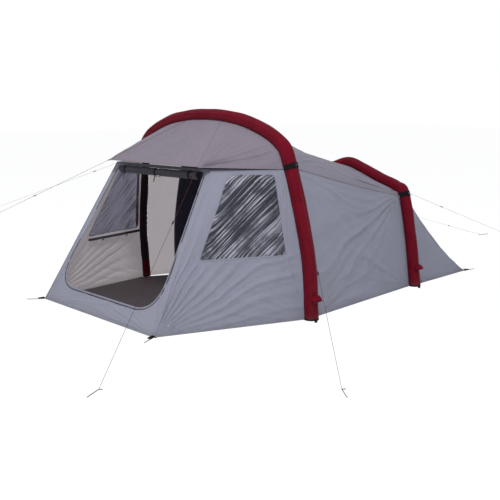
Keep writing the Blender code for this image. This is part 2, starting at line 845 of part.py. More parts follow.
def rear_line(start, end, steps, sag):
    """A line from the rear hem up to the arch, hollow like a hung sheet."""
    line = []
    for step in range(steps + 1):
        share = step / steps
        point = start.lerp(end, share)
        drop = sag * 4 * share * (1 - share)
        point.z = max(point.z - drop, GROUND_GAP)
        line.append(point)
    return line


def rear_shell():
    """The sleeping end: a sloping back and two side triangles."""
    shell = ClothShell()
    arch = REAR_ARCH.seam(1)
    far = LAST_INDEX - STRAP_INDEX
    hem = between(REAR_CORNER, mirror_x(REAR_CORNER), far - STRAP_INDEX)
    top = arch[STRAP_INDEX:far + 1]
    columns = [rear_line(a, b, BODY_ROWS, REAR_SAG) for a, b in zip(hem, top)]
    shell.grid("rear_end_panel", columns)
    for side in (1, -1):
        leg = arch[:STRAP_INDEX + 1]
        corner = REAR_CORNER
        if side < 0:
            leg = [mirror_x(point) for point in leg]
            corner = mirror_x(REAR_CORNER)
        fan = []
        for index, point in enumerate(leg):
            fan.append(rear_line(corner, point, BODY_ROWS, REAR_SAG * index / STRAP_INDEX))
        shell.grid("rear_end_panel", fan)
    REAR_ARCH.seat_edge(shell, 1)
    shell.weld()
    shell.turn_outward(Vector((0.0, 2.2, 0.2)))
    return shell


def inner_outline(y):
    """The inner tent's cross-section at one place along the tent, from rim to rim."""
    front = FRONT_ARCH.flat
    rear = REAR_ARCH.flat
    share = y / REAR_ARCH_Y
    if share <= 1.0:
        points = [a.lerp(b, share) for a, b in zip(front, rear)]
        top_height = max(point.z for point in points) - INNER_CLEARANCE - FRONT_ARCH.inset
    else:
        beyond = (y - REAR_ARCH_Y) / (REAR_CORNER_Y - REAR_ARCH_Y)
        squeeze = 1.0 - beyond * (1.0 - REAR_CORNER_HALF / REAR_FOOT_HALF)
        points = [Vector((p.x * squeeze, 0.0, p.z)) for p in rear]
        full = REAR_CROWN_TOP - INNER_CLEARANCE - REAR_ARCH.inset
        end = (INNER_REAR_Y - REAR_ARCH_Y) / (REAR_CORNER_Y - REAR_ARCH_Y)
        top_height = full + (INNER_END_HEIGHT - full) * beyond / end
    half = max(point.x for point in points)
    tallest = max(point.z for point in points)
    narrow = 1.0 - (FRONT_ARCH.inset + INNER_CLEARANCE) / half
    outline = []
    for point in points[::2]:
        height = BATHTUB_RIM + (top_height - BATHTUB_RIM) * point.z / tallest
        outline.append(Vector((point.x * narrow, y, height)))
    return outline


def inner_canopy(material):
    """The sleeping cabin's cloth, open in front, with a low back wall."""
    shell = ClothShell()
    rows = []
    for step in range(INNER_ROWS + 1):
        y = INNER_FRONT_Y + (REAR_ARCH_Y - INNER_FRONT_Y) * step / INNER_ROWS
        rows.append(inner_outline(y))
    for step in range(1, INNER_END_ROWS + 1):
        y = REAR_ARCH_Y + (INNER_REAR_Y - REAR_ARCH_Y) * step / INNER_END_ROWS
        rows.append(inner_outline(y))
    shell.grid("inner_canopy", rows)
    last = rows[-1]
    foot = Vector((0.0, INNER_REAR_Y, BATHTUB_RIM))
    shell.grid("inner_canopy", [last, [foot] * len(last)])
    shell.weld()
    shell.turn_outward(Vector((0.0, 1.0, 0.5)))
    return shell.sheet("inner_canopy", material, BATHTUB_RIM)


def inner_front_wall(material):
    """The cabin's front wall, a flat sheet just ahead of the cabin's cloth."""
    outline = inner_outline(INNER_FRONT_Y)
    mesh_data = bmesh.new()
    loops = []
    for y in (INNER_FRONT_Y - INNER_WALL_GAP - CLOTH, INNER_FRONT_Y - INNER_WALL_GAP):
        loop = [mesh_data.verts.new((point.x, y, point.z)) for point in outline]
        loops.append(loop)
    join_rings(mesh_data, *loops)
    mesh_data.faces.new(loops[0])
    mesh_data.faces.new(loops[1])
    bmesh.ops.triangulate(mesh_data, faces=[f for f in mesh_data.faces if len(f.verts) > 4])
    return add_mesh("inner_front_wall", mesh_data, material)


def inner_floor(material):
    """The waterproof tray that the cabin stands on."""
    front = inner_outline(INNER_FRONT_Y)[0].x
    rear = inner_outline(INNER_REAR_Y)[0].x
    top = BATHTUB_RIM - SEAM_GAP - GROUND_GAP
    plan = [Vector((front, INNER_FRONT_Y, 0)), Vector((rear, INNER_REAR_Y, 0)),
            Vector((-rear, INNER_REAR_Y, 0)), Vector((-front, INNER_FRONT_Y, 0))]
    middle = sum(plan, Vector()) / 4
    mesh_data = bmesh.new()
    loops = []
    for inset, height in ((0.0, 0.0), (0.0, top), (CLOTH, top), (CLOTH, FLOOR_THICKNESS)):
        loop = []
        for corner in plan:
            inward = (middle - corner)
            step_x = math.copysign(inset, inward.x)
            step_y = math.copysign(inset, inward.y)
            loop.append(mesh_data.verts.new((corner.x + step_x, corner.y + step_y, height)))
        loops.append(loop)
    for first, second in zip(loops, loops[1:]):
        join_rings(mesh_data, first, second)
    mesh_data.faces.new(loops[0])
    mesh_data.faces.new(loops[-1])
    return add_mesh("inner_floor", mesh_data, material)


def porch_groundsheet(material):
    """The loose floor of the porch, its underside on the ground."""
    flat_radius = FRONT_BEAM_RADIUS * math.cos(math.pi / BEAM_SIDES)
    arch_half = FRONT_FOOT_HALF - flat_radius - GROUND_GAP
    back_half = inner_outline(INNER_FRONT_Y)[0].x
    front_half = PORCH_CORNER_HALF - 2 * FLOOR_MARGIN
    front_y = PORCH_CORNER_Y + 2 * FLOOR_MARGIN
    back_y = INNER_FRONT_Y - GROUND_GAP
    half_plan = [(front_half, front_y), (arch_half, 0.0), (back_half, back_y)]
    plan = half_plan + [(-x, y) for x, y in reversed(half_plan)]
    mesh_data = bmesh.new()
    loops = []
    for height in (0.0, FLOOR_THICKNESS):
        loops.append([mesh_data.verts.new((x, y, height)) for x, y in plan])
    join_rings(mesh_data, *loops)
    mesh_data.faces.new(loops[0])
    mesh_data.faces.new(loops[1])
    return add_mesh("porch_groundsheet", mesh_data, material)


def rolled_cloth(name, start, end, radius, turns, side, material):
    """Cloth wound into a spiral roll between two points, or its mirror image on the left."""
    axis = (end - start).normalized()
    up = Vector((0.0, 0.0, 1.0))
    across = axis.cross(up).normalized()
    up = across.cross(axis).normalized()
    pitch = (radius - ROLL_CLOTH) / turns
    steps = turns * 12
    mesh_data = bmesh.new()
    ends = []
    for point in (start, end):
        outer = []
        inner = []
        for step in range(steps + 1):
            angle = 2 * math.pi * step / 12
            reach = radius - pitch * step / 12 * 0.93
            direction = across * math.cos(angle) + up * math.sin(angle)
            for ring, distance in ((outer, reach), (inner, reach - ROLL_CLOTH)):
                place = point + direction * distance
                ring.append(mesh_data.verts.new(place if side > 0 else mirror_x(place)))
        ends.append((outer, inner))
    (outer_a, inner_a), (outer_b, inner_b) = ends
    for index in range(steps):
        after = index + 1
        mesh_data.faces.new((outer_a[index], outer_a[after], outer_b[after], outer_b[index]))
        mesh_data.faces.new((inner_a[index], inner_a[after], inner_b[after], inner_b[index]))
        mesh_data.faces.new((outer_a[index], outer_a[after], inner_a[after], inner_a[index]))
        mesh_data.faces.new((outer_b[index], outer_b[after], inner_b[after], inner_b[index]))
    for index in (0, -1):
        mesh_data.faces.new((outer_a[index], outer_b[index], inner_b[index], inner_a[index]))
    return add_mesh(name, mesh_data, material)


def roll_axis():
    """The rolled door's centre, just under the top of the opening."""
    drop = DOOR_ROLL_RADIUS + TIE_FIT + TIE_THICKNESS + SEAM_GAP
    return door_corners(0.0)[1] - PORCH_UP * drop


def door_roll(material):
    """The door, rolled up across the top of its opening."""
    centre = roll_axis()
    start = Vector((-DOOR_ROLL_HALF, centre.y, centre.z))
    end = Vector((DOOR_ROLL_HALF, centre.y, centre.z))
    return rolled_cloth("door_roll", start, end, DOOR_ROLL_RADIUS, DOOR_ROLL_TURNS, 1, material)


def door_tie(name, place, material):
    """A webbing loop that holds the rolled door."""
    centre = roll_axis()
    mesh_data = bmesh.new()
    inner_radius = DOOR_ROLL_RADIUS + TIE_FIT
    loops = []
    for radius, x in ((inner_radius, -TIE_WIDTH / 2), (inner_radius + TIE_THICKNESS, -TIE_WIDTH / 2),
                      (inner_radius + TIE_THICKNESS, TIE_WIDTH / 2), (inner_radius, TIE_WIDTH / 2)):
        loop = []
        for step in range(TIE_SIDES):
            angle = 2 * math.pi * step / TIE_SIDES
            loop.append(mesh_data.verts.new((place + x, centre.y + radius * math.cos(angle),
                                             centre.z + radius * math.sin(angle))))
        loops.append(loop)
    for first, second in zip(loops, loops[1:] + loops[:1]):
        join_rings(mesh_data, first, second)
    return add_mesh(name, mesh_data, material)


def curtain_roll(name, side, material):
    """The window's curtain, rolled down to the sill inside the wall."""
    front_low, front_high, _, back_low = window_corners()
    inward = (front_high - front_low).cross(back_low - front_low).normalized()
    away = inward * (CURTAIN_ROLL_RADIUS + CURTAIN_GAP)
    drop = Vector((0.0, 0.0, -CURTAIN_ROLL_DROP))
    start = front_low + away + drop
    end = back_low + away + drop
    return rolled_cloth(name, start, end, CURTAIN_ROLL_RADIUS, CURTAIN_ROLL_TURNS, side, material)


def zip_path():
    """The zip's line on the front panel: up one side, with the foot and the other side."""
    corners = door_corners(ZIP_OFFSET)
    loop = rounded_loop(corners, [DOOR_CORNER + ZIP_OFFSET, WINDOW_CORNER,
                                  WINDOW_CORNER, DOOR_CORNER + ZIP_OFFSET])
    right = loop[:ARC_HALF + 3]
    left = loop[2 * PANEL_STEPS + ARC_HALF:3 * PANEL_STEPS]
    foot = loop[3 * PANEL_STEPS:]
    return left + foot + right


def door_zip(material):
    """The zip's tape and teeth, a flat strip on the front panel."""
    path = zip_path()
    mesh_data = bmesh.new()
    rings = []
    for index, point in enumerate(path):
        low = path[max(index - 1, 0)]
        high = path[min(index + 1, len(path) - 1)]
        side = (high - low).normalized().cross(PORCH_FACE).normalized()
        ring = []
        for across, lift in ((-0.5, 0.0), (0.5, 0.0), (0.5, 1.0), (-0.5, 1.0)):
            rise = ZIP_STAND_OFF + ZIP_THICKNESS * lift
            place = point + side * ZIP_WIDTH * across + PORCH_FACE * rise
            ring.append(mesh_data.verts.new(place))
        rings.append(ring)
    for first, second in zip(rings, rings[1:]):
        join_rings(mesh_data, first, second)
    mesh_data.faces.new(rings[0])
    mesh_data.faces.new(rings[-1])
    return add_mesh("door_zip", mesh_data, material)


def slider_place():
    """The slider's centre at rest, near the top of the right run of the zip."""
    path = zip_path()
    top = path[-1]
    below = path[-2]
    down = (below - top).normalized()
    rise = ZIP_STAND_OFF * 2 + ZIP_THICKNESS + SLIDER_THICKNESS / 2
    return top + down * SLIDER_FROM_TOP + PORCH_FACE * rise, down


def oriented_box(mesh_data, centre, axes, sizes):
    """A box along three given directions."""
    loops = []
    for end in (-0.5, 0.5):
        loop = []
        for b, c in ((-0.5, -0.5), (0.5, -0.5), (0.5, 0.5), (-0.5, 0.5)):
            loop.append(mesh_data.verts.new(centre + axes[0] * sizes[0] * end
                                            + axes[1] * sizes[1] * b + axes[2] * sizes[2] * c))
        loops.append(loop)
    join_rings(mesh_data, *loops)
    mesh_data.faces.new(loops[0])
    mesh_data.faces.new(loops[1])


def zip_slider(material):
    """The slider that runs on the zip, its origin at its centre."""
    place, down = slider_place()
    mesh_data = bmesh.new()
    across = down.cross(PORCH_FACE).normalized()
    oriented_box(mesh_data, Vector(), (down, across, PORCH_FACE),
                 (SLIDER_LENGTH, SLIDER_WIDTH, SLIDER_THICKNESS))
    bmesh.ops.bevel(mesh_data, geom=list(mesh_data.edges), offset=0.0012, segments=1,
                    affect="EDGES")
    slider = add_mesh("zip_slider", mesh_data, material)
    slider.location = place
    return slider


def pull_hinge():
    """The line that the pull tab hangs from, across the slider's face."""
    place, down = slider_place()
    lift = (SLIDER_THICKNESS + PULL_THICKNESS) / 2 + ZIP_STAND_OFF
    return place + PORCH_FACE * lift - down * (SLIDER_LENGTH / 2)


def zip_pull(material):
    """The pull tab, hanging from the slider, its origin on its hinge line."""
    _, down = slider_place()
    across = down.cross(PORCH_FACE).normalized()
    mesh_data = bmesh.new()
    oriented_box(mesh_data, down * (PULL_LENGTH / 2), (down, across, PORCH_FACE),
                 (PULL_LENGTH, PULL_WIDTH, PULL_THICKNESS))
    bmesh.ops.bevel(mesh_data, geom=list(mesh_data.edges), offset=0.0005, segments=1,
                    affect="EDGES")
    pull = add_mesh("zip_pull", mesh_data, material)
    pull.location = pull_hinge()
    return pull


def strap_point(arch, side):
    """The outer face of a strap band at the shoulder, where a guy line is tied."""
    _, outward, _ = arch.frame(STRAP_INDEX)
    reach = arch.radius + VALVE_FIT + STRAP_THICKNESS + LINE_START
    point = arch.centre(STRAP_INDEX) + outward * reach
    if side < 0:
        point = mirror_x(point)
    return point


def tip_point(tip, end):
    """Just off a canopy tip, where its guy line is tied, on the way to the line's end."""
    return tip + (end - tip).normalized() * TIP_START


GUYS = {
    "front_right": (tip_point(CANOPY_TIP, FRONT_GUY_END), FRONT_GUY_END, 0.30),
    "front_left": (tip_point(mirror_x(CANOPY_TIP), FRONT_LEFT_GUY_END), FRONT_LEFT_GUY_END, 0.62),
    "side_right": (strap_point(FRONT_ARCH, 1), SIDE_GUY_END, 0.55),
    "side_left": (strap_point(FRONT_ARCH, -1), SIDE_LEFT_GUY_END, 0.30),
    "rear_right": (strap_point(REAR_ARCH, 1), REAR_RIGHT_GUY_END, 0.30),
    "rear_left": (strap_point(REAR_ARCH, -1), REAR_LEFT_GUY_END, 0.80),
}
PEGGED_GUYS = ("front_right", "side_right", "rear_left")


def guy_points(start, end):
    """A taut line's route, in even steps."""
    return between(start, end, LINE_STEPS)


def guy_runner(name, start, end, share, material):
    """A slotted plate that slides on its guy line, the line through its hole."""
    along = (end - start).normalized()
    across = along.cross(Vector((0.0, 0.0, 1.0))).normalized()
    normal = across.cross(along).normalized()
    mesh_data = bmesh.new()
    rings = []
    sides = 8
    for end_share in (-0.5, 0.5):
        hole = []
        body = []
        for step in range(sides):
            angle = 2 * math.pi * (step + 0.5) / sides
            unit = across * math.cos(angle) + normal * math.sin(angle)
            hole.append(mesh_data.verts.new(along * RUNNER_LENGTH * end_share
                                            + unit * RUNNER_HOLE))
            wide = max(-1.0, min(1.0, math.cos(angle) * 1.6)) * RUNNER_WIDTH / 2
            tall = max(-1.0, min(1.0, math.sin(angle) * 1.6)) * RUNNER_THICKNESS / 2
            body.append(mesh_data.verts.new(along * RUNNER_LENGTH * end_share
                                            + across * wide + normal * tall * 1.3))
        rings.append((hole, body))
    (hole_a, body_a), (hole_b, body_b) = rings
    join_rings(mesh_data, hole_a, hole_b)
    join_rings(mesh_data, body_a, body_b)
    join_rings(mesh_data, hole_a, body_a)
    join_rings(mesh_data, hole_b, body_b)
    runner = add_mesh(name, mesh_data, material)
    runner.location = start.lerp(end, share)
    return runner


def ground_peg(name, foot, direction, seat, material):
    """A wire peg laid on the ground, its hook round what it holds."""
    along = Vector((direction[0], direction[1], 0.0)).normalized()
    across = Vector((-along.y, along.x, 0.0))
    if across.x * foot.x < 0:
        across = -across
    height = PEG_DIAMETER / 2 + GROUND_GAP
    base = Vector((foot.x, foot.y, height)) + along * seat
    hook = [base + across * PEG_HOOK, base + across * PEG_HOOK * 0.4,
            base + across * PEG_HOOK * 0.1 + along * 0.0005, base + along * 0.004]
    shaft = [base + along * 0.03, base + along * PEG_LENGTH]
    return add_cord(name, hook + shaft, PEG_DIAMETER, material, 1)


def build_frame():
    """Sleeves, bladders, valves, caps, hoods and strap bands."""
    for word, arch in (("front", FRONT_ARCH), ("rear", REAR_ARCH)):
        red = finish(word + "_sleeve_cloth", SLEEVE_RED, 0.62)
        beam_sleeve(word + "_beam_sleeve", arch, red)
        air_bladder(word + "_air_bladder", arch, finish(word + "_bladder_film", BLADDER_WHITE, 0.4))
        air_valve(word + "_valve", arch, finish(word + "_valve_plastic", PLASTIC_BLACK, 0.4))
        valve_cap(word + "_valve_cap", arch, finish(word + "_cap_plastic", PLASTIC_BLACK, 0.35))
        valve_hood(word + "_valve_hood", arch, finish(word + "_hood_cloth", SLEEVE_RED, 0.65))
        for side, index in (("right", STRAP_INDEX), ("left", LAST_INDEX - STRAP_INDEX)):
            webbing = finish(word + "_strap_" + side + "_web", STRAP_BLACK, 0.8)
            strap_band(word + "_strap_" + side, arch, index, webbing)


def build_fly():
    """The fly's sheets, the windows and the inner tent."""
    porch = porch_shell()
    porch.sheet("porch_front_panel", finish("porch_front_cloth", FLY_GREY, 0.6))
    for word in ("right", "left"):
        porch.sheet("porch_wall_" + word, finish("porch_wall_cloth_" + word, FLY_GREY, 0.6))
        porch.sheet("window_" + word, finish("window_film_" + word, WINDOW_CLEAR, 0.08, 0.0, 0.5))
    canopy = canopy_shell()
    canopy.sheet("canopy_top", finish("canopy_top_cloth", CANOPY_GREY, 0.6))
    for word in ("right", "left"):
        canopy.sheet("canopy_side_" + word, finish("canopy_side_cloth_" + word, CANOPY_GREY, 0.6))
    body = body_shell()
    body.sheet("fly_roof", finish("fly_roof_cloth", CANOPY_GREY, 0.6))
    for word in ("right", "left"):
        body.sheet("fly_wall_" + word, finish("fly_wall_cloth_" + word, FLY_GREY, 0.6))
    rear_shell().sheet("rear_end_panel", finish("rear_end_cloth", FLY_GREY, 0.6))
    inner_canopy(finish("inner_canopy_cloth", INNER_NAVY, 0.8))
    inner_front_wall(finish("inner_front_cloth", INNER_NAVY, 0.8))
    inner_floor(finish("inner_floor_sheet", FLOOR_BROWN, 0.6))
    porch_groundsheet(finish("porch_groundsheet_sheet", FLOOR_BROWN, 0.7))


def build_openings():
    """The rolled door with its ties, the curtains and the zip."""
    door_roll(finish("door_roll_cloth", FLY_GREY, 0.6))
    places = (("left", -DOOR_TIE_SPACING), ("middle", 0.0), ("right", DOOR_TIE_SPACING))
    for word, place in places:
        door_tie("door_tie_" + word, place, finish("door_tie_web_" + word, STRAP_BLACK, 0.8))
    for side, word in ((1, "right"), (-1, "left")):
        curtain_roll("curtain_roll_" + word, side, finish("curtain_cloth_" + word, CURTAIN_GREY, 0.7))
    door_zip(finish("door_zip_tape", PLASTIC_BLACK, 0.6))
    zip_slider(finish("zip_slider_metal", METAL_GREY, 0.35, 0.9))
    zip_pull(finish("zip_pull_plastic", PLASTIC_BLACK, 0.5))


def build_guys():
    """Guy lines, their runners and the pegs."""
    for word, (start, end, share) in GUYS.items():
        color = LINE_RED if word.endswith("right") else LINE_GREY
        line = finish("guy_" + word + "_cord", color, 0.7)
        add_cord("guy_" + word, guy_points(start, end), LINE_DIAMETER, line)
        plate = finish("runner_" + word + "_plastic", PLASTIC_BLACK, 0.5)
        guy_runner("runner_" + word, start, end, share, plate)
    for word in PEGGED_GUYS:
        start, end, _ = GUYS[word]
        steel = finish("guy_peg_" + word + "_steel", METAL_GREY, 0.4, 0.8)
        ground_peg("guy_peg_" + word, end, end - start, GUY_PEG_SEAT, steel)
    corners = (("front_right", PORCH_CORNER, (0.6, -1.0)),
               ("front_left", mirror_x(PORCH_CORNER), (-0.6, -1.0)),
               ("rear_right", REAR_CORNER, (0.05, 1.0)),
               ("rear_left", mirror_x(REAR_CORNER), (-0.05, 1.0)))
    for word, corner, direction in corners:
        steel = finish("corner_peg_" + word + "_steel", METAL_GREY, 0.4, 0.8)
        ground_peg("corner_peg_" + word, corner, direction, CORNER_PEG_SEAT, steel)


def build():
    """Make the whole tent."""
    clear_scene()
    build_frame()
    build_fly()
    build_openings()
    build_guys()
    bpy.context.view_layer.update()


build()
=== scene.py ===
"""Looks of an inflatable two-arch tunnel tent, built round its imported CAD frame.

Metres, +Z up. The door looks along -Y and the sleeping end is at +Y. Every sheet of the fly is
laid out from the same arches, corners and seams as the CAD solids, with its folds, hems, seams
and thread added.
"""
import logging
import math
from dataclasses import dataclass, field, replace
from enum import Enum
from functools import cache, reduce

import bmesh
import bpy
import numpy as np
from mathutils import Matrix, Quaternion, Vector, noise


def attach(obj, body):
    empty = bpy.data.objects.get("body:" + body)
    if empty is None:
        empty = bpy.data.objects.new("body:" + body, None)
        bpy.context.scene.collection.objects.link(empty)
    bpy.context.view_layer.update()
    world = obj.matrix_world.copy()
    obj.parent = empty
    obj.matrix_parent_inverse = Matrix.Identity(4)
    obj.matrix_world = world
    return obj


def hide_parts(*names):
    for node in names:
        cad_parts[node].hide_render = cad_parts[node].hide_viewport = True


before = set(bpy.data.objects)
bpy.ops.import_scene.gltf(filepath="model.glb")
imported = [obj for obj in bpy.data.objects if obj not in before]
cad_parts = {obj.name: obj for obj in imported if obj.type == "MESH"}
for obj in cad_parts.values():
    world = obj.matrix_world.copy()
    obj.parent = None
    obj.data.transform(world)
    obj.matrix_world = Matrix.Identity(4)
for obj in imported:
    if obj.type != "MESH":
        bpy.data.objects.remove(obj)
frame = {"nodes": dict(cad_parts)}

Object = bpy.types.Object
Material = bpy.types.Material
Node = bpy.types.Node
Socket = bpy.types.NodeSocket
Array = np.ndarray
Pair = tuple[float, float]
Point = tuple[float, float, float]
Route = tuple[Array, Array]

LOG = logging.getLogger("tent")
BODY = "tent"
SIDES = (("right", 1), ("left", -1))
UP = np.array((0.0, 0.0, 1.0))
FULL_TURN = 2 * math.pi

# Steps between two corner points of an arch, and the places counted in them
SPAN = 40
STRAP = 2 * SPAN
SEAM = 5 * SPAN
LAST = 12 * SPAN
SIDE_STEPS = 96

# Half a flat of the ten-sided CAD sleeve, and the turn to the seam from the sleeve's inner side
HALF_FLAT = math.pi / 10
SEAM_TURN = 3 * math.pi / 10

# How far an edge or a hem keeps off its neighbour or the ground
EDGE_GAP = 0.0008
HEM_RISE = 0.008
PROUD = 0.0006


class Coat(Enum):
    """Material families of the tent."""

    FLY = "fly_cloth"
    CANOPY = "canopy_cloth"
    SLEEVE = "sleeve_cloth"
    INNER = "inner_cloth"
    CURTAIN = "lining_cloth"
    FLOOR = "groundsheet"
    WEB = "webbing"
    FILM = "window_film"
    PLASTIC = "hard_plastic"
    STEEL = "peg_steel"
    CORD = "guy_cord"
    ZIP = "zip_tape"


class Held(Enum):
    """Ways in which a sheet of cloth is held."""

    STRETCHED = "stretched"
    HUNG = "hung"
    GATHERED = "gathered"
    FOLDED = "folded"
    LAID = "laid"


@dataclass(frozen=True)
class Cloth:
    """How one coated cloth looks on one side."""

    name: str
    color: Point
    roughness: float = 0.6
    tone: float = 0.10
    # Painted light: an emission in the cloth's own colour that stands for light shining through it
    glow: float = 0.0
    thread: float = 0.0012
    crease: float = 0.5
    sheen: float = 0.15


@dataclass(frozen=True)
class Ribbed:
    """Webbing, tape, thread or braid: ribs of a pitch, with an optional light fleck."""

    name: str
    color: Point
    pitch: float
    fleck: float = 0.0


@dataclass(frozen=True)
class Worn:
    """A moulded plastic or drawn metal surface."""

    name: str
    color: Point
    metallic: float = 0.0
    wear: float = 0.3
    grain: float = 300.0


FLY_OUT = Cloth("fly_cloth_outer", (0.285, 0.288, 0.352), 0.55, 0.12)
# The glow of FLY_IN, PORCH_IN, CANOPY_IN and INNER_OUT is painted light, for light that shines through the
# cloth
FLY_IN = Cloth("fly_cloth_lining", (0.43, 0.400, 0.415), 0.75, 0.12, 0.70)
PORCH_IN = Cloth("fly_cloth_porch_lining", (0.41, 0.380, 0.395), 0.75, 0.12, 0.44)
CANOPY_OUT = Cloth("canopy_cloth_outer", (0.232, 0.200, 0.238), 0.58, 0.14)
ROOF_OUT = Cloth("roof_cloth_outer", (0.262, 0.242, 0.290), 0.58, 0.12)
CANOPY_IN = Cloth("canopy_cloth_lining", (0.12, 0.105, 0.11), 0.75, 0.08, 0.04)
SLEEVE_OUT = Cloth("sleeve_cloth_outer", (0.150, 0.0028, 0.0125), 0.60, 0.30, 0.0, 0.0015, 1.6, 0.0)
SLEEVE_IN = Cloth("sleeve_cloth_inside", (0.030, 0.016, 0.020), 0.7, 0.15)
INNER_OUT = Cloth("inner_cloth_navy", (0.0155, 0.0150, 0.0310), 0.85, 0.18, 0.06, 0.0016, 0.6, 0.1)
INNER_RIM = Cloth("inner_cloth_roof", (0.13, 0.115, 0.11), 0.8, 0.12)
# Painted shade: fly cloth darkened to stand for the shadow under the canopy, where the rolled door sits
ROLLED_PAINTED_SHADE = Cloth("fly_cloth_rolled_painted_shade", (0.060, 0.056, 0.070), 0.8, 0.20)
CURTAIN = Cloth("curtain_cloth", (0.055, 0.050, 0.062), 0.75, 0.15)
FLOOR = Cloth("groundsheet_weave", (0.046, 0.027, 0.040), 0.62, 0.20, 0.0, 0.004, 0.8)
WEB = Ribbed("strap_webbing", (0.005, 0.005, 0.006), 0.003)
PIPING = Ribbed("piping", (0.10, 0.006, 0.014), 0.002)
ZIP_CLOTH = Ribbed("zip_cloth", (0.02, 0.02, 0.024), 0.003)
ELASTIC = Ribbed("elastic_cord", (0.015, 0.015, 0.018), 0.002)
VALVE = Worn("valve_plastic", (0.022, 0.022, 0.024), 0.0, 0.25)
RING = Worn("ring_steel", (0.30, 0.30, 0.31), 0.9)
TOGGLE = Worn("toggle_plastic", (0.015, 0.015, 0.016))
TEETH = Worn("zip_teeth", (0.03, 0.03, 0.033))
SLIDER = Worn("zip_slider_metal", (0.30, 0.30, 0.31), 0.9)
PEG = Worn("peg_steel", (0.030, 0.030, 0.032), 0.6, 0.25, 500.0)
RUNNER = Worn("runner_plastic", (0.018, 0.018, 0.020))
THREADS = {Coat.FLY: (0.20, 0.20, 0.25), Coat.CANOPY: (0.15, 0.13, 0.16),
           Coat.SLEEVE: (0.10, 0.004, 0.012), Coat.WEB: (0.02, 0.02, 0.022)}


# Geometry of the tent


def vec(x: float, y: float, z: float) -> Array:
    """A point as an array."""
    return np.array((x, y, z), float)


def unit(v: Array) -> Array:
    """The same directions with length one."""
    return v / np.maximum(np.linalg.norm(v, axis=-1, keepdims=True), 1e-12)


def on_side(points: Array, side: int) -> Array:
    """Points of the right half as they are for side 1, or mirrored to the left for side -1."""
    return np.asarray(points, float) * np.array((float(side), 1.0, 1.0))


def mirrored(points: Array) -> Array:
    """The same points on the other side of the tent."""
    return on_side(points, -1)


def line(start: Array, end: Array, steps: int) -> Array:
    """Even steps from one point or route to another.

    Args:
        start: The first point or route.
        end: The last one.
        steps: The steps between them.

    Returns:
        The points, or rows of them.
    """
    start, end = np.broadcast_arrays(start, end)
    share = np.linspace(0.0, 1.0, steps + 1).reshape(-1, *(1,) * start.ndim)
    return start * (1 - share) + end * share


def spun(across: Array, up: Array, turn: Array) -> Array:
    """Directions that turn from one direction to another, and on round."""
    return across * np.cos(turn)[:, None] + up * np.sin(turn)[:, None]


def smooth(value: Array) -> Array:
    """A soft step from 0 at 0 to 1 at 1."""
    t = np.clip(value, 0.0, 1.0)
    return t * t * (3 - 2 * t)


def resampled(points: Array, steps: int) -> Array:
    """The same route with evenly numbered points."""
    place = np.linspace(0, len(points) - 1, steps + 1)
    return np.stack([np.interp(place, np.arange(len(points)), points[:, k]) for k in range(3)], axis=1)


def catmull(points: Array, steps: int) -> Array:
    """A Catmull-Rom curve through points.

    Args:
        points: The points to pass through.
        steps: Steps from each point to the next.

    Returns:
        The curve's points, the last given point included.
    """
    chain = np.vstack((2 * points[0] - points[1], points, 2 * points[-1] - points[-2]))
    t = (np.arange(steps) / steps)[:, None]
    path = []
    for index in range(1, len(chain) - 2):
        before, start, end, after = chain[index - 1:index + 3]
        path.append(0.5 * (2 * start + (end - before) * t
                           + (2 * before - 5 * start + 4 * end - after) * t * t
                           + (3 * start - before - 3 * end + after) * t ** 3))
    return np.vstack((*path, points[-1]))


@dataclass
class Arch:
    """The leaning plane curve of one air beam, from the corner points of its right half."""

    half: tuple[Pair, ...]
    top: float
    y: float
    lean: float
    radius: float

    def __post_init__(self) -> None:
        """Work out the curve and its normals."""
        right = np.array([(x, 0.0, z) for x, z in self.half])
        points = np.vstack((right, (0.0, 0.0, self.top), mirrored(right)[::-1]))
        self.inset = self.radius * math.cos(SEAM_TURN)
        self.flat = catmull(points, SPAN)
        along = np.gradient(self.flat, axis=0)
        self.normals = unit(np.stack((along[:, 2], 0 * along[:, 0], -along[:, 0]), axis=1))
        self.square = unit(vec(0.0, 1.0, self.lean))

    def place(self, flat: Array, forward: float = 0.0) -> Array:
        """Lean points of the plane curve and shift them square to the arch's plane."""
        leaned = np.outer(self.y - self.lean * flat[:, 2], (0, 1, 0))
        return flat * (1, 0, 1) + leaned + self.square * forward

    def centre(self) -> Array:
        """The sleeve's centreline."""
        return self.place(self.flat)

    def seam(self, side: int) -> Array:
        """Where the fly meets the sleeve: side is -1 in front of it and 1 behind it.

        Args:
            side: -1 for the front edge, 1 for the rear edge.

        Returns:
            The edge's points.
        """
        reach = self.radius * math.sin(SEAM_TURN) + EDGE_GAP
        points = self.place(self.flat - self.normals * self.inset, side * reach)
        points[:, 2] = np.maximum(points[:, 2], EDGE_GAP)
        return points

    def frames(self) -> tuple[Array, Array, Array]:
        """Directions along the sleeve.

        Returns:
            The tangents, the outward normals and the directions square to both.
        """
        tangent = unit(np.gradient(self.centre(), axis=0))
        outward = unit(self.normals - tangent * (self.normals * tangent).sum(1, keepdims=True))
        return tangent, outward, np.cross(tangent, outward)


FRONT = Arch(((1.42, 0.0), (1.405, 0.62), (1.225, 1.40), (1.075, 1.63), (0.68, 1.785), (0.30, 1.845)),
             1.857, 0.0, 0.063, 0.066)
REAR = Arch(((1.03, 0.0), (0.955, 0.52), (0.850, 0.985), (0.745, 1.068), (0.47, 1.155), (0.22, 1.245)),
            1.30, 1.906, 0.0, 0.061)

PORCH_CORNER = vec(1.02, -1.47, 0.0008)
PORCH_TOP = vec(0.82, -0.68, 1.385)
TIP = vec(0.778, -0.805, 1.410)
REAR_CORNER = vec(0.82, 3.036, 0.0008)
PORCH_UP = unit(PORCH_TOP - PORCH_CORNER)
PORCH_FACE = unit(np.cross(vec(1, 0, 0), vec(0, *(PORCH_TOP - PORCH_CORNER)[1:])))
WALL_TOP_DROP = 0.008
BODY_SAG = 0.030
BODY_SAG_FROM = 0.62
REAR_SAG = 0.085

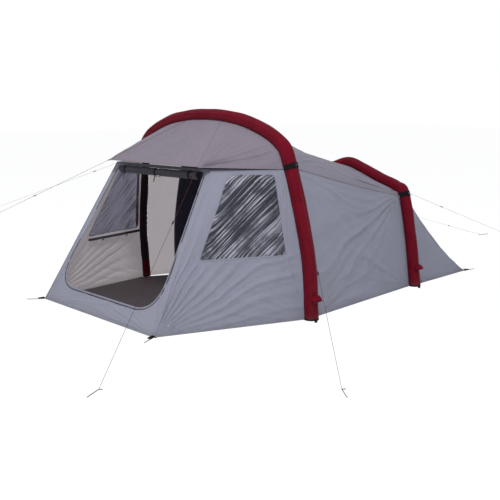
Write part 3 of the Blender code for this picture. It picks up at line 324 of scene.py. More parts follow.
DOOR_SILL = 0.20
DOOR_HEAD = 0.03
DOOR_JAMB = 0.09
DOOR_RADII = (0.36, 0.05, 0.05, 0.36)
ZIP_OUT = 0.016
ZIP_RADII = (0.376, 0.05, 0.05, 0.376)
WINDOW_SILL = 0.60
WINDOW_HEAD = 0.045
WINDOW_FRONT = 0.17
WINDOW_REAR = 0.085
WINDOW_RADIUS = 0.05

INNER_FRONT_Y = 0.30
INNER_REAR_Y = 2.70
RIM = 0.15
INNER_GAP = 0.075
INNER_END_HEIGHT = 0.23


def rounded_loop(corners: list[Array], radii: tuple[float, ...], steps: int) -> Array:
    """A closed loop with the same steps on each side and a rounded corner between sides.

    Args:
        corners: The four corners, in order.
        radii: The cut length at each corner.
        steps: Steps on each side, a third of them on each half corner.

    Returns:
        The loop's points, starting in the middle of the first corner.
    """
    third = steps // 3
    t = np.linspace(0, 1, 2 * third + 1)[:, None]

    def arc(corner: Array, back: Array, ahead: Array, radius: float) -> Array:
        """A round corner, from its point on the side before to its point on the side after."""
        start, end = corner + back * radius, corner + ahead * radius
        return start * (1 - t) ** 2 + corner * 2 * t * (1 - t) + end * t * t

    loop = []
    for index, corner in enumerate(corners):
        after, before, beyond = corners[(index + 1) % 4], corners[index - 1], corners[(index + 2) % 4]
        ahead = unit(after - corner)
        leave = arc(corner, unit(before - corner), ahead, radii[index])[third:]
        arrive = arc(after, -ahead, unit(beyond - after), radii[(index + 1) % 4])[:third + 1]
        straight = line(leave[-1], arrive[0], steps - 2 * third)
        loop += [leave[:-1], straight, arrive[1:-1]]
    return np.vstack(loop)


def front_point(height: float) -> Array:
    """A point of the porch's right corner seam at a height."""
    share = (height - PORCH_CORNER[2]) / (PORCH_TOP[2] - PORCH_CORNER[2])
    return PORCH_CORNER * (1 - share) + PORCH_TOP * share


def door_corners(margin: float) -> list[Array]:
    """The door's corners, drawn out by a margin: right foot, right top, left top, left foot.

    Args:
        margin: How far to draw them out.

    Returns:
        The four corners.
    """
    slope = np.linalg.norm(PORCH_TOP - PORCH_CORNER) / (PORCH_TOP[2] - PORCH_CORNER[2])
    low = front_point(PORCH_CORNER[2] + (DOOR_SILL - margin) / slope)
    high = front_point(PORCH_TOP[2] - DOOR_HEAD / slope)
    low[0] -= DOOR_JAMB - margin
    high[0] -= DOOR_JAMB - margin
    return [low, high, mirrored(high), mirrored(low)]


def window_corners() -> list[Array]:
    """The right window's corners: front foot, front top, arch top, arch foot.

    Returns:
        The four corners.
    """
    seam = FRONT.seam(-1)
    found = []
    for share in (WINDOW_SILL / PORCH_TOP[2], 1 - WINDOW_HEAD / PORCH_TOP[2]):
        front = PORCH_CORNER * (1 - share) + PORCH_TOP * share
        back = seam[0] * (1 - share) + seam[STRAP] * share
        along = unit(back - front)
        found.append((front + along * WINDOW_FRONT, back - along * WINDOW_REAR))
    (front_low, back_low), (front_high, back_high) = found
    return [front_low, front_high, back_high, back_low]


DOOR_LOOP = rounded_loop(door_corners(0.0), DOOR_RADII, SIDE_STEPS)
ZIP_LOOP = rounded_loop(door_corners(ZIP_OUT), ZIP_RADII, SIDE_STEPS)
WINDOW_LOOP = rounded_loop(window_corners(), (WINDOW_RADIUS,) * 4, SIDE_STEPS)


def wall_border() -> Array:
    """The right porch wall's border: corner seam, top, arch leg, hem.

    Returns:
        A closed loop.
    """
    leg = FRONT.seam(-1)[:STRAP + 1]
    leg[-1, 2] -= WALL_TOP_DROP
    sides = (line(PORCH_CORNER, PORCH_TOP, SIDE_STEPS), line(PORCH_TOP, leg[-1], SIDE_STEPS),
             resampled(leg[::-1], SIDE_STEPS), line(leg[0], PORCH_CORNER, SIDE_STEPS))
    return np.vstack([side[:-1] for side in sides])


def band(outer: Array, inner: Array, steps: int) -> Array:
    """Rings from an outer loop to an inner one, the first column repeated at the end."""
    rows = line(outer, inner, steps)
    return np.concatenate((rows, rows[:, :1]), axis=1)


def coons(loop: Array, steps: int) -> Array:
    """A smooth patch inside a loop.

    Args:
        loop: The loop's points, on four sides of equal steps.
        steps: The steps on each side.

    Returns:
        The patch as a grid of points.
    """
    ring = np.vstack((loop, loop[:1]))
    low, right, top, left = (ring[k * steps:(k + 1) * steps + 1] for k in range(4))
    top, left = top[::-1], left[::-1]
    u = np.linspace(0, 1, steps + 1)[None, :, None]
    v = np.linspace(0, 1, steps + 1)[:, None, None]
    across = low[None] * (1 - v) + top[None] * v
    up = left[:, None] * (1 - u) + right[:, None] * u
    corner = (low[0] * (1 - u) * (1 - v) + low[-1] * u * (1 - v) + top[0] * (1 - u) * v + top[-1] * u * v)
    return across + up - corner


def body_grid(rows: int) -> Array:
    """The fly between the arches, drawn in between them.

    Args:
        rows: Steps from the front arch to the rear one.

    Returns:
        The points, in rows.
    """
    points = line(FRONT.seam(1), REAR.seam(-1), rows)
    normals = unit(line(FRONT.normals, REAR.normals, rows))
    share = np.linspace(0, 1, rows + 1)[:, None, None]
    lift = np.minimum(1.0, points[..., 2:] / BODY_SAG_FROM)
    return points - normals * BODY_SAG * 4 * share * (1 - share) * lift


def rear_grid(rows: int) -> Array:
    """The sleeping end's cover, from its hem up to the rear arch, both flanks included.

    Args:
        rows: Steps from the hem to the arch.

    Returns:
        The points, the hem first.
    """
    arch = REAR.seam(1)
    index = np.arange(LAST + 1)
    share = np.clip((index - STRAP) / (LAST - 2 * STRAP), 0, 1)[:, None]
    foot = REAR_CORNER * (1 - share) + mirrored(REAR_CORNER) * share
    sag = REAR_SAG * np.clip(np.minimum(index, LAST - index) / STRAP, 0, 1)
    t = np.linspace(0, 1, rows + 1)[:, None]
    grid = line(foot, arch, rows)
    grid[..., 2] = np.maximum(grid[..., 2] - sag * (4 * t * (1 - t)), EDGE_GAP)
    return grid


def inner_outline(y: float, count: int = LAST) -> Array:
    """The inner tent's cross-section at one place along the tent.

    Args:
        y: The place.
        count: Steps along the outline.

    Returns:
        Its points from rim to rim.
    """
    share = y / REAR.y
    if share <= 1.0:
        points = FRONT.flat * (1 - share) + REAR.flat * share
        top = points[:, 2].max() - INNER_GAP - FRONT.inset
    else:
        length = REAR_CORNER[1] - REAR.y
        beyond = (y - REAR.y) / length
        narrow = 1 - beyond * (1 - REAR_CORNER[0] / REAR.half[0][0])
        points = REAR.flat * np.array((narrow, 0.0, 1.0))
        full = REAR.top - INNER_GAP - REAR.inset
        top = full + (INNER_END_HEIGHT - full) * beyond / ((INNER_REAR_Y - REAR.y) / length)
    narrow = 1.0 - (FRONT.inset + INNER_GAP) / points[:, 0].max()
    height = RIM + (top - RIM) * points[:, 2] / points[:, 2].max()
    outline = np.stack((points[:, 0] * narrow, np.full(len(points), y), height), axis=1)
    return resampled(outline, count)


# Folds and meshes


@dataclass(frozen=True)
class Pull:
    """Tension folds that fan out of one point of a sheet."""

    at: Array
    toward: Array
    spread: float
    folds: float
    depth: float
    reach: float

    def on(self, side: int) -> "Pull":
        """The same folds on one side of the tent."""
        return replace(self, at=on_side(self.at, side), toward=on_side(self.toward, side))


def both_sides(*pulls: Pull) -> tuple[Pull, ...]:
    """Each fan of folds on the right, followed by its mirror image."""
    return tuple(pull.on(side) for pull in pulls for _, side in SIDES)


def grid_normals(grid: Array, inside: Array, closed: bool) -> Array:
    """Unit normals of a grid that point away from a place inside the tent.

    Args:
        grid: The points.
        inside: The place to turn away from.
        closed: True where the last column repeats the first.

    Returns:
        A normal for each point.
    """
    if closed:
        ring = np.concatenate((grid[:, -2:-1], grid, grid[:, 1:2]), axis=1)
        across = (ring[:, 2:] - ring[:, :-2]) / 2
    else:
        across = np.gradient(grid, axis=1)
    normals = np.cross(across, np.gradient(grid, axis=0))
    mean = unit(normals.reshape(-1, 3).sum(0))
    thin = np.linalg.norm(normals, axis=-1, keepdims=True) < 1e-9
    normals = unit(np.where(thin, mean, normals))
    if ((grid - inside) * normals).sum() < 0:
        normals = -normals
    return normals


def fold_height(points: Array, normals: Array, pulls: tuple[Pull, ...], billow: float, seed: float) -> Array:
    """How far each point of a sheet stands off its smooth shape.

    Args:
        points: The sheet's points.
        normals: Their outward normals, or one for all.
        pulls: Fans of tension folds.
        billow: Height of the broad uneven hollows.
        seed: Shifts the noise so that no two sheets match.

    Returns:
        Heights along the normals, in metres.
    """
    flat = points.reshape(-1, 3)
    shift = Vector((seed * 3.7, seed * 1.3, seed * 2.1))
    broad = np.array([noise.noise(Vector(p) * 1.9 + shift) for p in flat])
    fine = np.array([noise.noise(Vector(p) * 6.5 + shift) for p in flat])
    height = billow * (broad + 0.35 * fine)
    facing = unit(normals.reshape(-1, 3).mean(0))
    for number, pull in enumerate(pulls):
        away = flat - pull.at
        far = np.linalg.norm(away, axis=1)
        ahead = unit(pull.toward - pull.at)
        side = unit(np.cross(facing, ahead))
        angle = np.arctan2(away @ side, away @ ahead) + 0.05 * broad + 0.010 * fine
        fade = np.exp(-(angle / math.radians(pull.spread)) ** 2)
        fade *= smooth(far / 0.12) * (1 - smooth((far - 0.35 * pull.reach) / (0.65 * pull.reach)))
        wave = 1 - np.abs(np.sin(angle * pull.folds + seed + number * 1.7 + 0.8 * broad))
        small = 1 - np.abs(np.sin(angle * pull.folds * 2.3 + seed * 2 + broad))
        height += pull.depth * fade * (wave ** 1.6 + 0.35 * small ** 2 - 0.4) * (0.8 + 0.4 * fine)
    return height.reshape(points.shape[:-1])


def edge_mask(shape: tuple[int, int], seams: str, width: float = 0.07) -> Array:
    """A mask that is 0 on the named edges of a grid: t top row, b bottom row, l and r columns.

    Args:
        shape: The grid's rows and columns.
        seams: The letters of its sewn edges.
        width: Over what share of the grid it grows to 1.

    Returns:
        A factor for each point.
    """
    v = np.linspace(0, 1, shape[0])[:, None]
    u = np.linspace(0, 1, shape[1])[None]
    mask = np.ones(shape)
    for key, reach in (("b", v), ("t", 1 - v), ("l", u), ("r", 1 - u)):
        if key in seams:
            mask *= smooth(reach / width)
    return mask


def add_uv(mesh: bpy.types.Mesh, grid: Array) -> None:
    """Store cloth coordinates: the distances in metres along a grid's rows and columns.

    Args:
        mesh: A mesh of the grid's points, in their order.
        grid: The points.
    """
    across = np.linalg.norm(np.diff(grid, axis=1), axis=-1)
    up = np.linalg.norm(np.diff(grid, axis=0), axis=-1)
    u = np.concatenate((np.zeros((len(grid), 1)), across.cumsum(1)), axis=1)
    v = np.concatenate((np.zeros((1, grid.shape[1])), up.cumsum(0)), axis=0)
    uv = np.stack((u, v), axis=-1).reshape(-1, 2)
    layer = mesh.uv_layers.new(name="cloth")
    index = np.zeros(len(mesh.loops), np.int32)
    mesh.loops.foreach_get("vertex_index", index)
    layer.data.foreach_set("uv", uv[index].astype(np.float32).ravel())


def link(name: str, data: bpy.types.ID, materials: list[Material]) -> Object:
    """Put a mesh, curve, camera or light in the scene as a named object.

    Args:
        name: Its name.
        data: What it shows.
        materials: Its materials.

    Returns:
        The new object.
    """
    for material in materials:
        data.materials.append(material)
    item = bpy.data.objects.new(name, data)
    bpy.context.scene.collection.objects.link(item)
    return item


def grid_object(name: str, grid: Array, materials: list[Material],
                outward: Array | None = None, floor: float | None = None) -> Object:
    """Make a surface of quads from a grid of points.

    Args:
        name: Its name.
        grid: The points, in rows; rows or columns that meet are merged.
        materials: Its materials, the first on every face.
        outward: The direction that its faces turn along, once or for each point.
        floor: No point is lower than this.

    Returns:
        The new object.
    """
    rows, columns = grid.shape[:2]
    points = grid.reshape(-1, 3).copy()
    if floor is not None:
        points[:, 2] = np.maximum(points[:, 2], floor)
    corner = (np.arange(rows - 1)[:, None] * columns + np.arange(columns - 1)[None]).ravel()
    faces = np.stack((corner, corner + 1, corner + 1 + columns, corner + columns), axis=1)
    if outward is not None:
        a, b, d = (points[faces[:, k]] for k in (0, 1, 3))
        wanted = np.broadcast_to(outward, grid.shape).reshape(-1, 3)[faces[:, 0]]
        if (np.cross(b - a, d - a) * wanted).sum() < 0:
            faces = faces[:, ::-1]
    mesh = bpy.data.meshes.new(name)
    mesh.from_pydata(points.tolist(), [], faces.tolist())
    add_uv(mesh, grid)
    work = bmesh.new()
    work.from_mesh(mesh)
    bmesh.ops.remove_doubles(work, verts=work.verts, dist=0.00005)
    bmesh.ops.dissolve_degenerate(work, dist=0.00005, edges=work.edges)
    work.to_mesh(mesh)
    work.free()
    mesh.shade_smooth()
    return link(name, mesh, materials)


def baked(item: Object) -> Object:
    """Apply an object's modifiers to its mesh.

    Args:
        item: The object.

    Returns:
        The same object.
    """
    bpy.context.view_layer.update()
    graph = bpy.context.evaluated_depsgraph_get()
    mesh = bpy.data.meshes.new_from_object(item.evaluated_get(graph))
    item.modifiers.clear()
    item.data = mesh
    return item


def thicken(item: Object, thickness: float, own_inside: bool = False) -> Object:
    """Give a surface a second side and a rim.

    Args:
        item: The surface.
        thickness: How far in the second side lies.
        own_inside: True where the second side takes the second material.

    Returns:
        The same object.
    """
    shell = item.modifiers.new("skin", "SOLIDIFY")
    shell.thickness = thickness
    shell.offset = -1.0
    shell.use_rim = True
    shell.material_offset = 1 if own_inside else 0
    return baked(item)


def close_up(item: Object) -> Object:
    """Fill an object's open ends and turn its faces outwards.

    Args:
        item: The object.

    Returns:
        The same object.
    """
    work = bmesh.new()
    work.from_mesh(item.data)
    bmesh.ops.remove_doubles(work, verts=work.verts, dist=0.00002)
    bmesh.ops.holes_fill(work, edges=work.edges, sides=0)
    bmesh.ops.recalc_face_normals(work, faces=work.faces)
    work.to_mesh(item.data)
    work.free()
    return item


# Materials


class Graph:
    """A node tree with short calls for its nodes and links."""

    def __init__(self, tree: bpy.types.NodeTree) -> None:
        """Keep a tree and its surface shader, if it has one."""
        self.tree = tree
        self.surface = tree.nodes.get("Principled BSDF")

    def node(self, kind: str, *inputs: object, **settings: object) -> Node:
        """Add a node, set its properties and give its first inputs values or links.

        Args:
            kind: The node's type.
            inputs: Values or sockets for its first inputs.
            settings: Its properties.

        Returns:
            The new node.
        """
        made = self.tree.nodes.new(kind)
        for key, value in settings.items():
            setattr(made, key, value)
        for slot, value in zip(made.inputs, inputs):
            self.feed(slot, value)
        return made

    def feed(self, slot: Socket, value: object) -> None:
        """Link a socket or set its value.

        Args:
            slot: The socket.
            value: Another socket or a value; None leaves it.
        """
        if isinstance(value, Socket):
            self.tree.links.new(value, slot)
        elif value is not None:
            slot.default_value = value

    def fill(self, node: Node, values: dict[str, object]) -> Node:
        """Feed a node's inputs.

        Args:
            node: The node.
            values: Sockets or values by the input's name.

        Returns:
            The same node.
        """
        for name, value in values.items():
            self.feed(node.inputs[name], value)
        return node

    def math(self, operation: str, a: object, b: object = None) -> Socket:
        """One arithmetic step."""
        return self.node("ShaderNodeMath", a, b, operation=operation).outputs[0]

    def times(self, a: object, b: object) -> Socket:
        """A product."""
        return self.math("MULTIPLY", a, b)

    def total(self, first: object, *terms: object) -> Socket:
        """A sum."""
        return reduce(lambda a, b: self.math("ADD", a, b), terms, first)

    def swing(self, value: Socket, scale: float) -> Socket:
        """Noise from 0 to 1 turned into a swing round 0."""
        return self.times(self.math("SUBTRACT", value, 0.5), scale)

    def wave(self, value: Socket, turn: object) -> Socket:
        """A sine of a scaled value."""
        return self.math("SINE", self.times(value, turn))

    def scaled(self, vector: object, scale: Point) -> Socket:
        """A vector times a scale for each axis."""
        return self.node("ShaderNodeVectorMath", vector, scale, operation="MULTIPLY").outputs[0]

    def shifted(self, vector: object, *xyz: object) -> Socket:
        """A vector plus another one, given by its three parts."""
        other = self.node("ShaderNodeCombineXYZ", *xyz).outputs[0]
        return self.node("ShaderNodeVectorMath", vector, other, operation="ADD").outputs[0]

    def split(self, vector: object) -> list[Socket]:
        """The three parts of a vector."""
        return list(self.node("ShaderNodeSeparateXYZ", vector).outputs)

    def place(self) -> Socket:
        """Object coordinates."""
        return self.node("ShaderNodeTexCoord").outputs["Object"]

    def cloth_uv(self) -> Socket:
        """Cloth coordinates in metres."""
        return self.node("ShaderNodeUVMap", uv_map="cloth").outputs[0]

    def noise(self, vector: object, scale: object, detail: float = 3.0, rough: float = 0.5) -> Socket:
        """Noise from 0 to 1."""
        values = {"Vector": vector, "Scale": scale, "Detail": detail, "Roughness": rough}
        return self.fill(self.node("ShaderNodeTexNoise"), values).outputs["Fac"]

    def band(self, value: object, low: float, high: float, to_low: float = 0.0,
             to_high: float = 1.0) -> Socket:
        """Stretch a range of values smoothly onto another."""
        return self.node("ShaderNodeMapRange", value, low, high, to_low, to_high,
                         interpolation_type="SMOOTHSTEP").outputs[0]

    def mix(self, share: object, a: object, b: object) -> Socket:
        """Mix two colours.

        Args:
            share: How much of the second.
            a: The first.
            b: The second.

        Returns:
            The mixed colour.
        """
        made = self.node("ShaderNodeMix", data_type="RGBA")
        for slot, value in ((made.inputs[0], share), (made.inputs[6], a), (made.inputs[7], b)):
            self.feed(slot, value)
        return made.outputs[2]

    def blend(self, share: object, a: Node, b: Node) -> Node:
        """Mix two shaders."""
        return self.node("ShaderNodeMixShader", share, a.outputs[0], b.outputs[0])

    def bump(self, height: Socket, strength: float, distance: float) -> Socket:
        """A normal bent by a height."""
        values = {"Strength": strength, "Distance": distance, "Height": height}
        return self.fill(self.node("ShaderNodeBump"), values).outputs[0]

    def show(self, shader: Node) -> None:
        """Make a shader the material's surface."""
        output = next(n for n in self.tree.nodes if n.type == "OUTPUT_MATERIAL")
        self.feed(output.inputs["Surface"], shader.outputs[0])


def new_group(name: str, ins: dict[str, object]) -> tuple[Graph, dict[str, Socket], Node]:
    """A shader node group that puts out a colour, a roughness and a height.

    Args:
        name: The group's name.
        ins: Its inputs' first values by name: a tuple is a colour, a number a float.

    Returns:
        The tree's graph, its inputs by name, and its output node.
    """
    tree = bpy.data.node_groups.new(name, "ShaderNodeTree")
    for label, value in ins.items():
        kind = "NodeSocketColor" if isinstance(value, tuple) else "NodeSocketFloat"
        socket = tree.interface.new_socket(name=label, in_out="INPUT", socket_type=kind)
        socket.default_value = value
    for label, kind in (("Color", "Color"), ("Roughness", "Float"), ("Height", "Float")):
        tree.interface.new_socket(name=label, in_out="OUTPUT", socket_type="NodeSocket" + kind)
    graph = Graph(tree)
    entry = graph.node("NodeGroupInput")
    return graph, {s.name: s for s in entry.outputs}, graph.node("NodeGroupOutput")


def weave_group() -> bpy.types.NodeTree:
    """Plain-weave cloth: thread relief, uneven dye, fold lines, and a darker, browner band along the bottom.

    Returns:
        The node group.
    """
    graph, given, out = new_group("woven_cloth", {
        "Color": (0.3, 0.3, 0.3, 1), "Thread": 0.0012, "Tone": 0.1, "Crease": 0.5, "Roughness": 0.6})
    place, uv = graph.place(), graph.cloth_uv()
    u, v, _ = graph.split(uv)
    turn = graph.math("DIVIDE", FULL_TURN, given["Thread"])
    thread = graph.times(graph.wave(u, turn), graph.wave(v, turn))
    broad = graph.noise(place, 1.7, 4.0, 0.6)
    mottled = graph.noise(place, 22.0, 3.0, 0.6)
    slub = graph.noise(graph.scaled(uv, (2.0, 90.0, 1.0)), 1.0, 2.0)
    tone = graph.total(graph.swing(broad, 1.3), graph.swing(mottled, 0.55), graph.swing(slub, 0.35),
                       graph.times(thread, 0.12))
    value = graph.total(1.0, graph.times(tone, given["Tone"]))
    shaded = graph.fill(graph.node("ShaderNodeHueSaturation"), {"Color": given["Color"], "Value": value})
    # Darker and browner towards the bottom, up to about 0.11 m above the ground
    low_rise = graph.total(graph.split(place)[2], graph.times(mottled, 0.05))
    low_band = graph.band(low_rise, 0.02, 0.11, 0.22, 0.0)
    colour = graph.mix(low_band, shaded.outputs[0], (0.12, 0.105, 0.09, 1.0))
    cells = graph.node("ShaderNodeTexVoronoi", feature="DISTANCE_TO_EDGE")
    graph.fill(cells, {"Vector": graph.shifted(place, mottled, broad, mottled), "Scale": 3.4})
    packed = graph.band(cells.outputs["Distance"], 0.0, 0.035, 1.0, 0.0)
    ripple = graph.noise(graph.scaled(uv, (14.0, 3.0, 1.0)), 1.0, 4.0, 0.65)
    creased = graph.total(graph.times(packed, 0.30), graph.times(ripple, 1.4))
    height = graph.total(graph.times(creased, given["Crease"]), graph.times(thread, 0.05))
    rough = graph.total(given["Roughness"], graph.swing(mottled, 0.18))
    graph.fill(out, {"Color": colour, "Roughness": rough, "Height": height})
    return graph.tree


def wear_group() -> bpy.types.NodeTree:
    """Moulded or drawn surfaces: fine grain, scuffs and a worn tone.

    Returns:
        The node group.
    """
    graph, given, out = new_group("worn_surface", {
        "Color": (0.1, 0.1, 0.1, 1), "Scale": 300.0, "Wear": 0.3})
    place = graph.place()
    grain = graph.noise(place, given["Scale"], 2.0)
    scuffs = graph.noise(place, 60.0, 5.0, 0.7)
    scratch = graph.noise(graph.scaled(place, (400.0, 30.0, 400.0)), 1.0, 2.0)
    mask = graph.times(graph.band(scuffs, 0.55, 0.72), given["Wear"])
    graph.fill(out, {
        "Color": graph.mix(mask, given["Color"], (0.35, 0.34, 0.33, 1.0)),
        "Roughness": graph.total(0.38, graph.times(scratch, 0.25)),
        "Height": graph.total(graph.times(grain, 0.5), graph.times(scratch, 0.5))})
    return graph.tree


class Paints:
    """Makes each material once and keeps it."""

    def __init__(self) -> None:
        """Make the shared node groups."""
        self.weave = weave_group()
        self.wear = wear_group()

    @cache
    def of(self, finish: Cloth | Ribbed | Worn) -> Material:
        """The material of a finish.

        Args:
            finish: What the material looks like.

        Returns:
            The material.
        """
        material = bpy.data.materials.new(finish.name)
        material.use_nodes = True
        make = {Cloth: self.cloth, Ribbed: self.ribbed, Worn: self.worn}[type(finish)]
        make(finish, Graph(material.node_tree))
        return material

    def dress(self, graph: Graph, look: Node, strength: float, distance: float) -> None:
        """Feed a material from a group's colour, roughness and height."""
        color, rough, height = look.outputs
        graph.fill(graph.surface, {"Base Color": color, "Roughness": rough,
                                   "Normal": graph.bump(height, strength, distance)})

    def cloth(self, finish: Cloth, graph: Graph) -> None:
        """A coated woven cloth, with painted light where light comes through it: an emission glow in its own
        colour.

        Args:
            finish: The cloth.
            graph: The material's nodes.
        """
        look = graph.node("ShaderNodeGroup", node_tree=self.weave)
        graph.fill(look, {"Color": (*finish.color, 1.0), "Thread": finish.thread, "Tone": finish.tone,
                          "Crease": finish.crease, "Roughness": finish.roughness})
        self.dress(graph, look, 0.8, 0.009)
        graph.fill(graph.surface, {"Sheen Weight": finish.sheen, "Sheen Roughness": 0.4,
                                   "Specular IOR Level": 0.14})
        # Painted light: the glow stands for light shining through the cloth
        if finish.glow:
            graph.fill(graph.surface, {"Emission Color": look.outputs["Color"],
                                       "Emission Strength": finish.glow})

    def worn(self, finish: Worn, graph: Graph) -> None:
        """A scuffed plastic or metal.

        Args:
            finish: The plastic or metal.
            graph: The material's nodes.
        """
        look = graph.node("ShaderNodeGroup", node_tree=self.wear)
        graph.fill(look, {"Color": (*finish.color, 1.0), "Scale": finish.grain, "Wear": finish.wear})
        self.dress(graph, look, 0.3, 0.0006)
        graph.fill(graph.surface, {"Metallic": finish.metallic})

    def ribbed(self, finish: Ribbed, graph: Graph) -> None:
        """Crossed ribs with a little dust.

        Args:
            finish: The webbing, tape or cord.
            graph: The material's nodes.
        """
        place = graph.place()
        x, y, z = graph.split(place)
        turn = FULL_TURN / finish.pitch
        rib = graph.wave(graph.total(x, y, z), turn)
        cross = graph.wave(graph.math("SUBTRACT", graph.total(z, y), x), turn)
        dust = graph.noise(place, 14.0, 4.0, 0.6)
        colour = graph.mix(graph.times(dust, 0.04), (*finish.color, 1.0), (0.20, 0.19, 0.19, 1.0))
        flecks = graph.times(graph.band(rib, 0.80, 0.95), finish.fleck)
        graph.fill(graph.surface, {
            "Base Color": graph.mix(flecks, colour, (0.75, 0.76, 0.78, 1.0)),
            "Normal": graph.bump(graph.times(rib, cross), 0.5, 0.0005),
            "Roughness": 0.80, "Specular IOR Level": 0.12})

    @cache
    def film(self) -> Material:
        """Clear window film, crinkled in long diagonal folds, with painted highlights in pale bands along
        them.

        Returns:
            The film's material.
        """
        material = bpy.data.materials.new("window_film_clear")
        material.use_nodes = True
        graph = Graph(material.node_tree)
        uv = graph.cloth_uv()
        turned = graph.node("ShaderNodeVectorRotate", rotation_type="Z_AXIS")
        graph.fill(turned, {"Vector": uv, "Angle": math.radians(-36)})
        wander = graph.times(graph.noise(uv, 1.6, 2.0), 0.010)
        bent = graph.shifted(turned.outputs[0], 0.0, wander, 0.0)
        long = graph.noise(graph.scaled(bent, (0.9, 44.0, 1.0)), 1.0, 2.0, 0.55)
        fine = graph.noise(graph.scaled(bent, (2.0, 95.0, 1.0)), 1.0, 1.0, 0.4)
        patches = graph.noise(uv, 4.5, 3.0, 0.6)
        # Painted highlights: pale bands along the folds, where they would catch the light
        painted_glint = graph.total(graph.band(long, 0.50, 0.60), graph.times(graph.band(fine, 0.52, 0.62), 0.6))
        painted_glint = graph.times(painted_glint, graph.band(patches, 0.34, 0.62, 0.18, 1.0))
        share = graph.math("MINIMUM", graph.times(painted_glint, 0.70), 0.90)
        normal = graph.bump(graph.total(long, graph.times(fine, 0.4)), 0.6, 0.008)
        # The pale base colour is the colour of the painted highlights
        shader = graph.fill(graph.surface, {
            "Base Color": (0.47, 0.47, 0.54, 1.0), "Roughness": 0.30, "Specular IOR Level": 0.4,
            "Normal": normal})
        clear = graph.node("ShaderNodeBsdfTransparent", (0.43, 0.42, 0.48, 1.0))
        gloss = graph.node("ShaderNodeBsdfGlossy", (0.85, 0.87, 0.92, 1.0), 0.10)
        graph.fill(gloss, {"Normal": normal})
        graph.show(graph.blend(share, graph.blend(0.10, clear, gloss), shader))
        return material


# Repeated small pieces


class RowOfPieces:
    """A geometry node group that sets small blocks along a route, such as stitches or zip teeth."""

    def __init__(self) -> None:
        """Build the tree, with named inputs for its pitch, block size and material."""
        self.tree = bpy.data.node_groups.new("row_of_pieces", "GeometryNodeTree")
        face = self.tree.interface
        self.inputs = {}
        for label, kind in (("Geometry", "Geometry"), ("Pitch", "Float"), ("Size", "Vector"),
                            ("Material", "Material")):
            socket = face.new_socket(name=label, in_out="INPUT", socket_type="NodeSocket" + kind)
            self.inputs[label] = socket.identifier
        face.new_socket(name="Geometry", in_out="OUTPUT", socket_type="NodeSocketGeometry")
        graph = Graph(self.tree)
        given = {s.name: s for s in graph.node("NodeGroupInput").outputs}
        route = graph.node("GeometryNodeMeshToCurve", given["Geometry"])
        even = graph.node("GeometryNodeResampleCurve")
        even.mode = "LENGTH"
        graph.fill(even, {"Curve": route.outputs[0], "Length": given["Pitch"]})
        block = graph.fill(graph.node("GeometryNodeMeshCube"), {"Size": given["Size"]})
        normal = graph.node("GeometryNodeInputNamedAttribute", "up", data_type="FLOAT_VECTOR")
        tangent = graph.node("GeometryNodeInputTangent")
        aim = graph.node("FunctionNodeAlignRotationToVector", axis="X")
        graph.fill(aim, {"Vector": tangent.outputs[0]})
        roll = graph.node("FunctionNodeAlignRotationToVector", axis="Z", pivot_axis="X")
        graph.fill(roll, {"Rotation": aim.outputs[0], "Vector": normal.outputs[0]})
        spread = graph.node("GeometryNodeInstanceOnPoints")
        graph.fill(spread, {"Points": even.outputs[0], "Instance": block.outputs[0],
                            "Rotation": roll.outputs[0]})
        real = graph.node("GeometryNodeRealizeInstances", spread.outputs[0])
        coat = graph.node("GeometryNodeSetMaterial")
        graph.fill(coat, {"Geometry": real.outputs[0], "Material": given["Material"]})
        graph.node("NodeGroupOutput", coat.outputs[0])

    def along(self, name: str, routes: list[Route], pitch: float, size: Point, material: Material) -> Object:
        """Set blocks along routes.

        Args:
            name: Its name.
            routes: Points of each route, and their outward directions.
            pitch: The step from block to block.
            size: A block's size along, across and out.
            material: The blocks' material.

        Returns:
            All the blocks as one mesh object.
        """
        points, edges, ups = [], [], []
        for path, up in routes:
            start = len(points)
            points += path.tolist()
            ups.append(np.broadcast_to(up, path.shape))
            edges += [(start + k, start + k + 1) for k in range(len(path) - 1)]
        mesh = bpy.data.meshes.new(name)
        mesh.from_pydata(points, edges, [])
        attribute = mesh.attributes.new("up", "FLOAT_VECTOR", "POINT")
        attribute.data.foreach_set("vector", np.vstack(ups).astype(np.float32).ravel())
        item = link(name, mesh, [])
        modifier = item.modifiers.new("row", "NODES")
        modifier.node_group = self.tree
        for label, value in (("Pitch", pitch), ("Size", size), ("Material", material)):
            modifier[self.inputs[label]] = value
        return baked(item)


def ribbon_grid(path: Array, up: Array, width: float, rise: float) -> Array:
    """A strip along a route, raised in its middle and closed round its back.

    Args:
        path: The middle of its back.
        up: The direction that it faces.
        width: Its width.
        rise: Its rise in the middle.

    Returns:
        The strip's points.
    """
    tangent = unit(np.gradient(path, axis=0))
    up = np.broadcast_to(up, path.shape)
    up = unit(up - tangent * (up * tangent).sum(1, keepdims=True))
    side = np.cross(tangent, up)
    profile = ((-0.5, 0.0), (-0.46, 0.85), (-0.2, 1.0), (0.2, 1.0), (0.46, 0.85), (0.5, 0.0), (-0.5, 0.0))
    columns = [path + side * (width * a) + up * (rise * b) for a, b in profile]
    return np.stack(columns, axis=1)


def round_about(centre: Array, across: Array, up: Array, turn: Array) -> Array:
    """Points of a circle for each centre, its two radii given as directions."""
    return centre[:, None] + spun(across, up, turn)


def ring_mesh(name: str, centre: Array, axis: Array, radius: float, wire: float,
              material: Material) -> Object:
    """A round wire ring.

    Args:
        name: Its name.
        centre: Its middle.
        axis: The direction that it turns round.
        radius: From its middle to the middle of its wire.
        wire: The wire's radius.
        material: Its material.

    Returns:
        The new object.
    """
    axis = unit(axis)
    other = unit(np.cross(axis, UP if abs(axis[2]) < 0.9 else vec(1, 0, 0)))
    third = np.cross(axis, other)
    turn = np.linspace(0, FULL_TURN, 25)
    path = centre + radius * spun(other, third, turn)
    radial = unit(path - centre)
    grid = round_about(path, wire * radial[:, None], wire * axis[None, None], np.linspace(0, FULL_TURN, 11))
    return close_up(grid_object(name, grid, [material]))


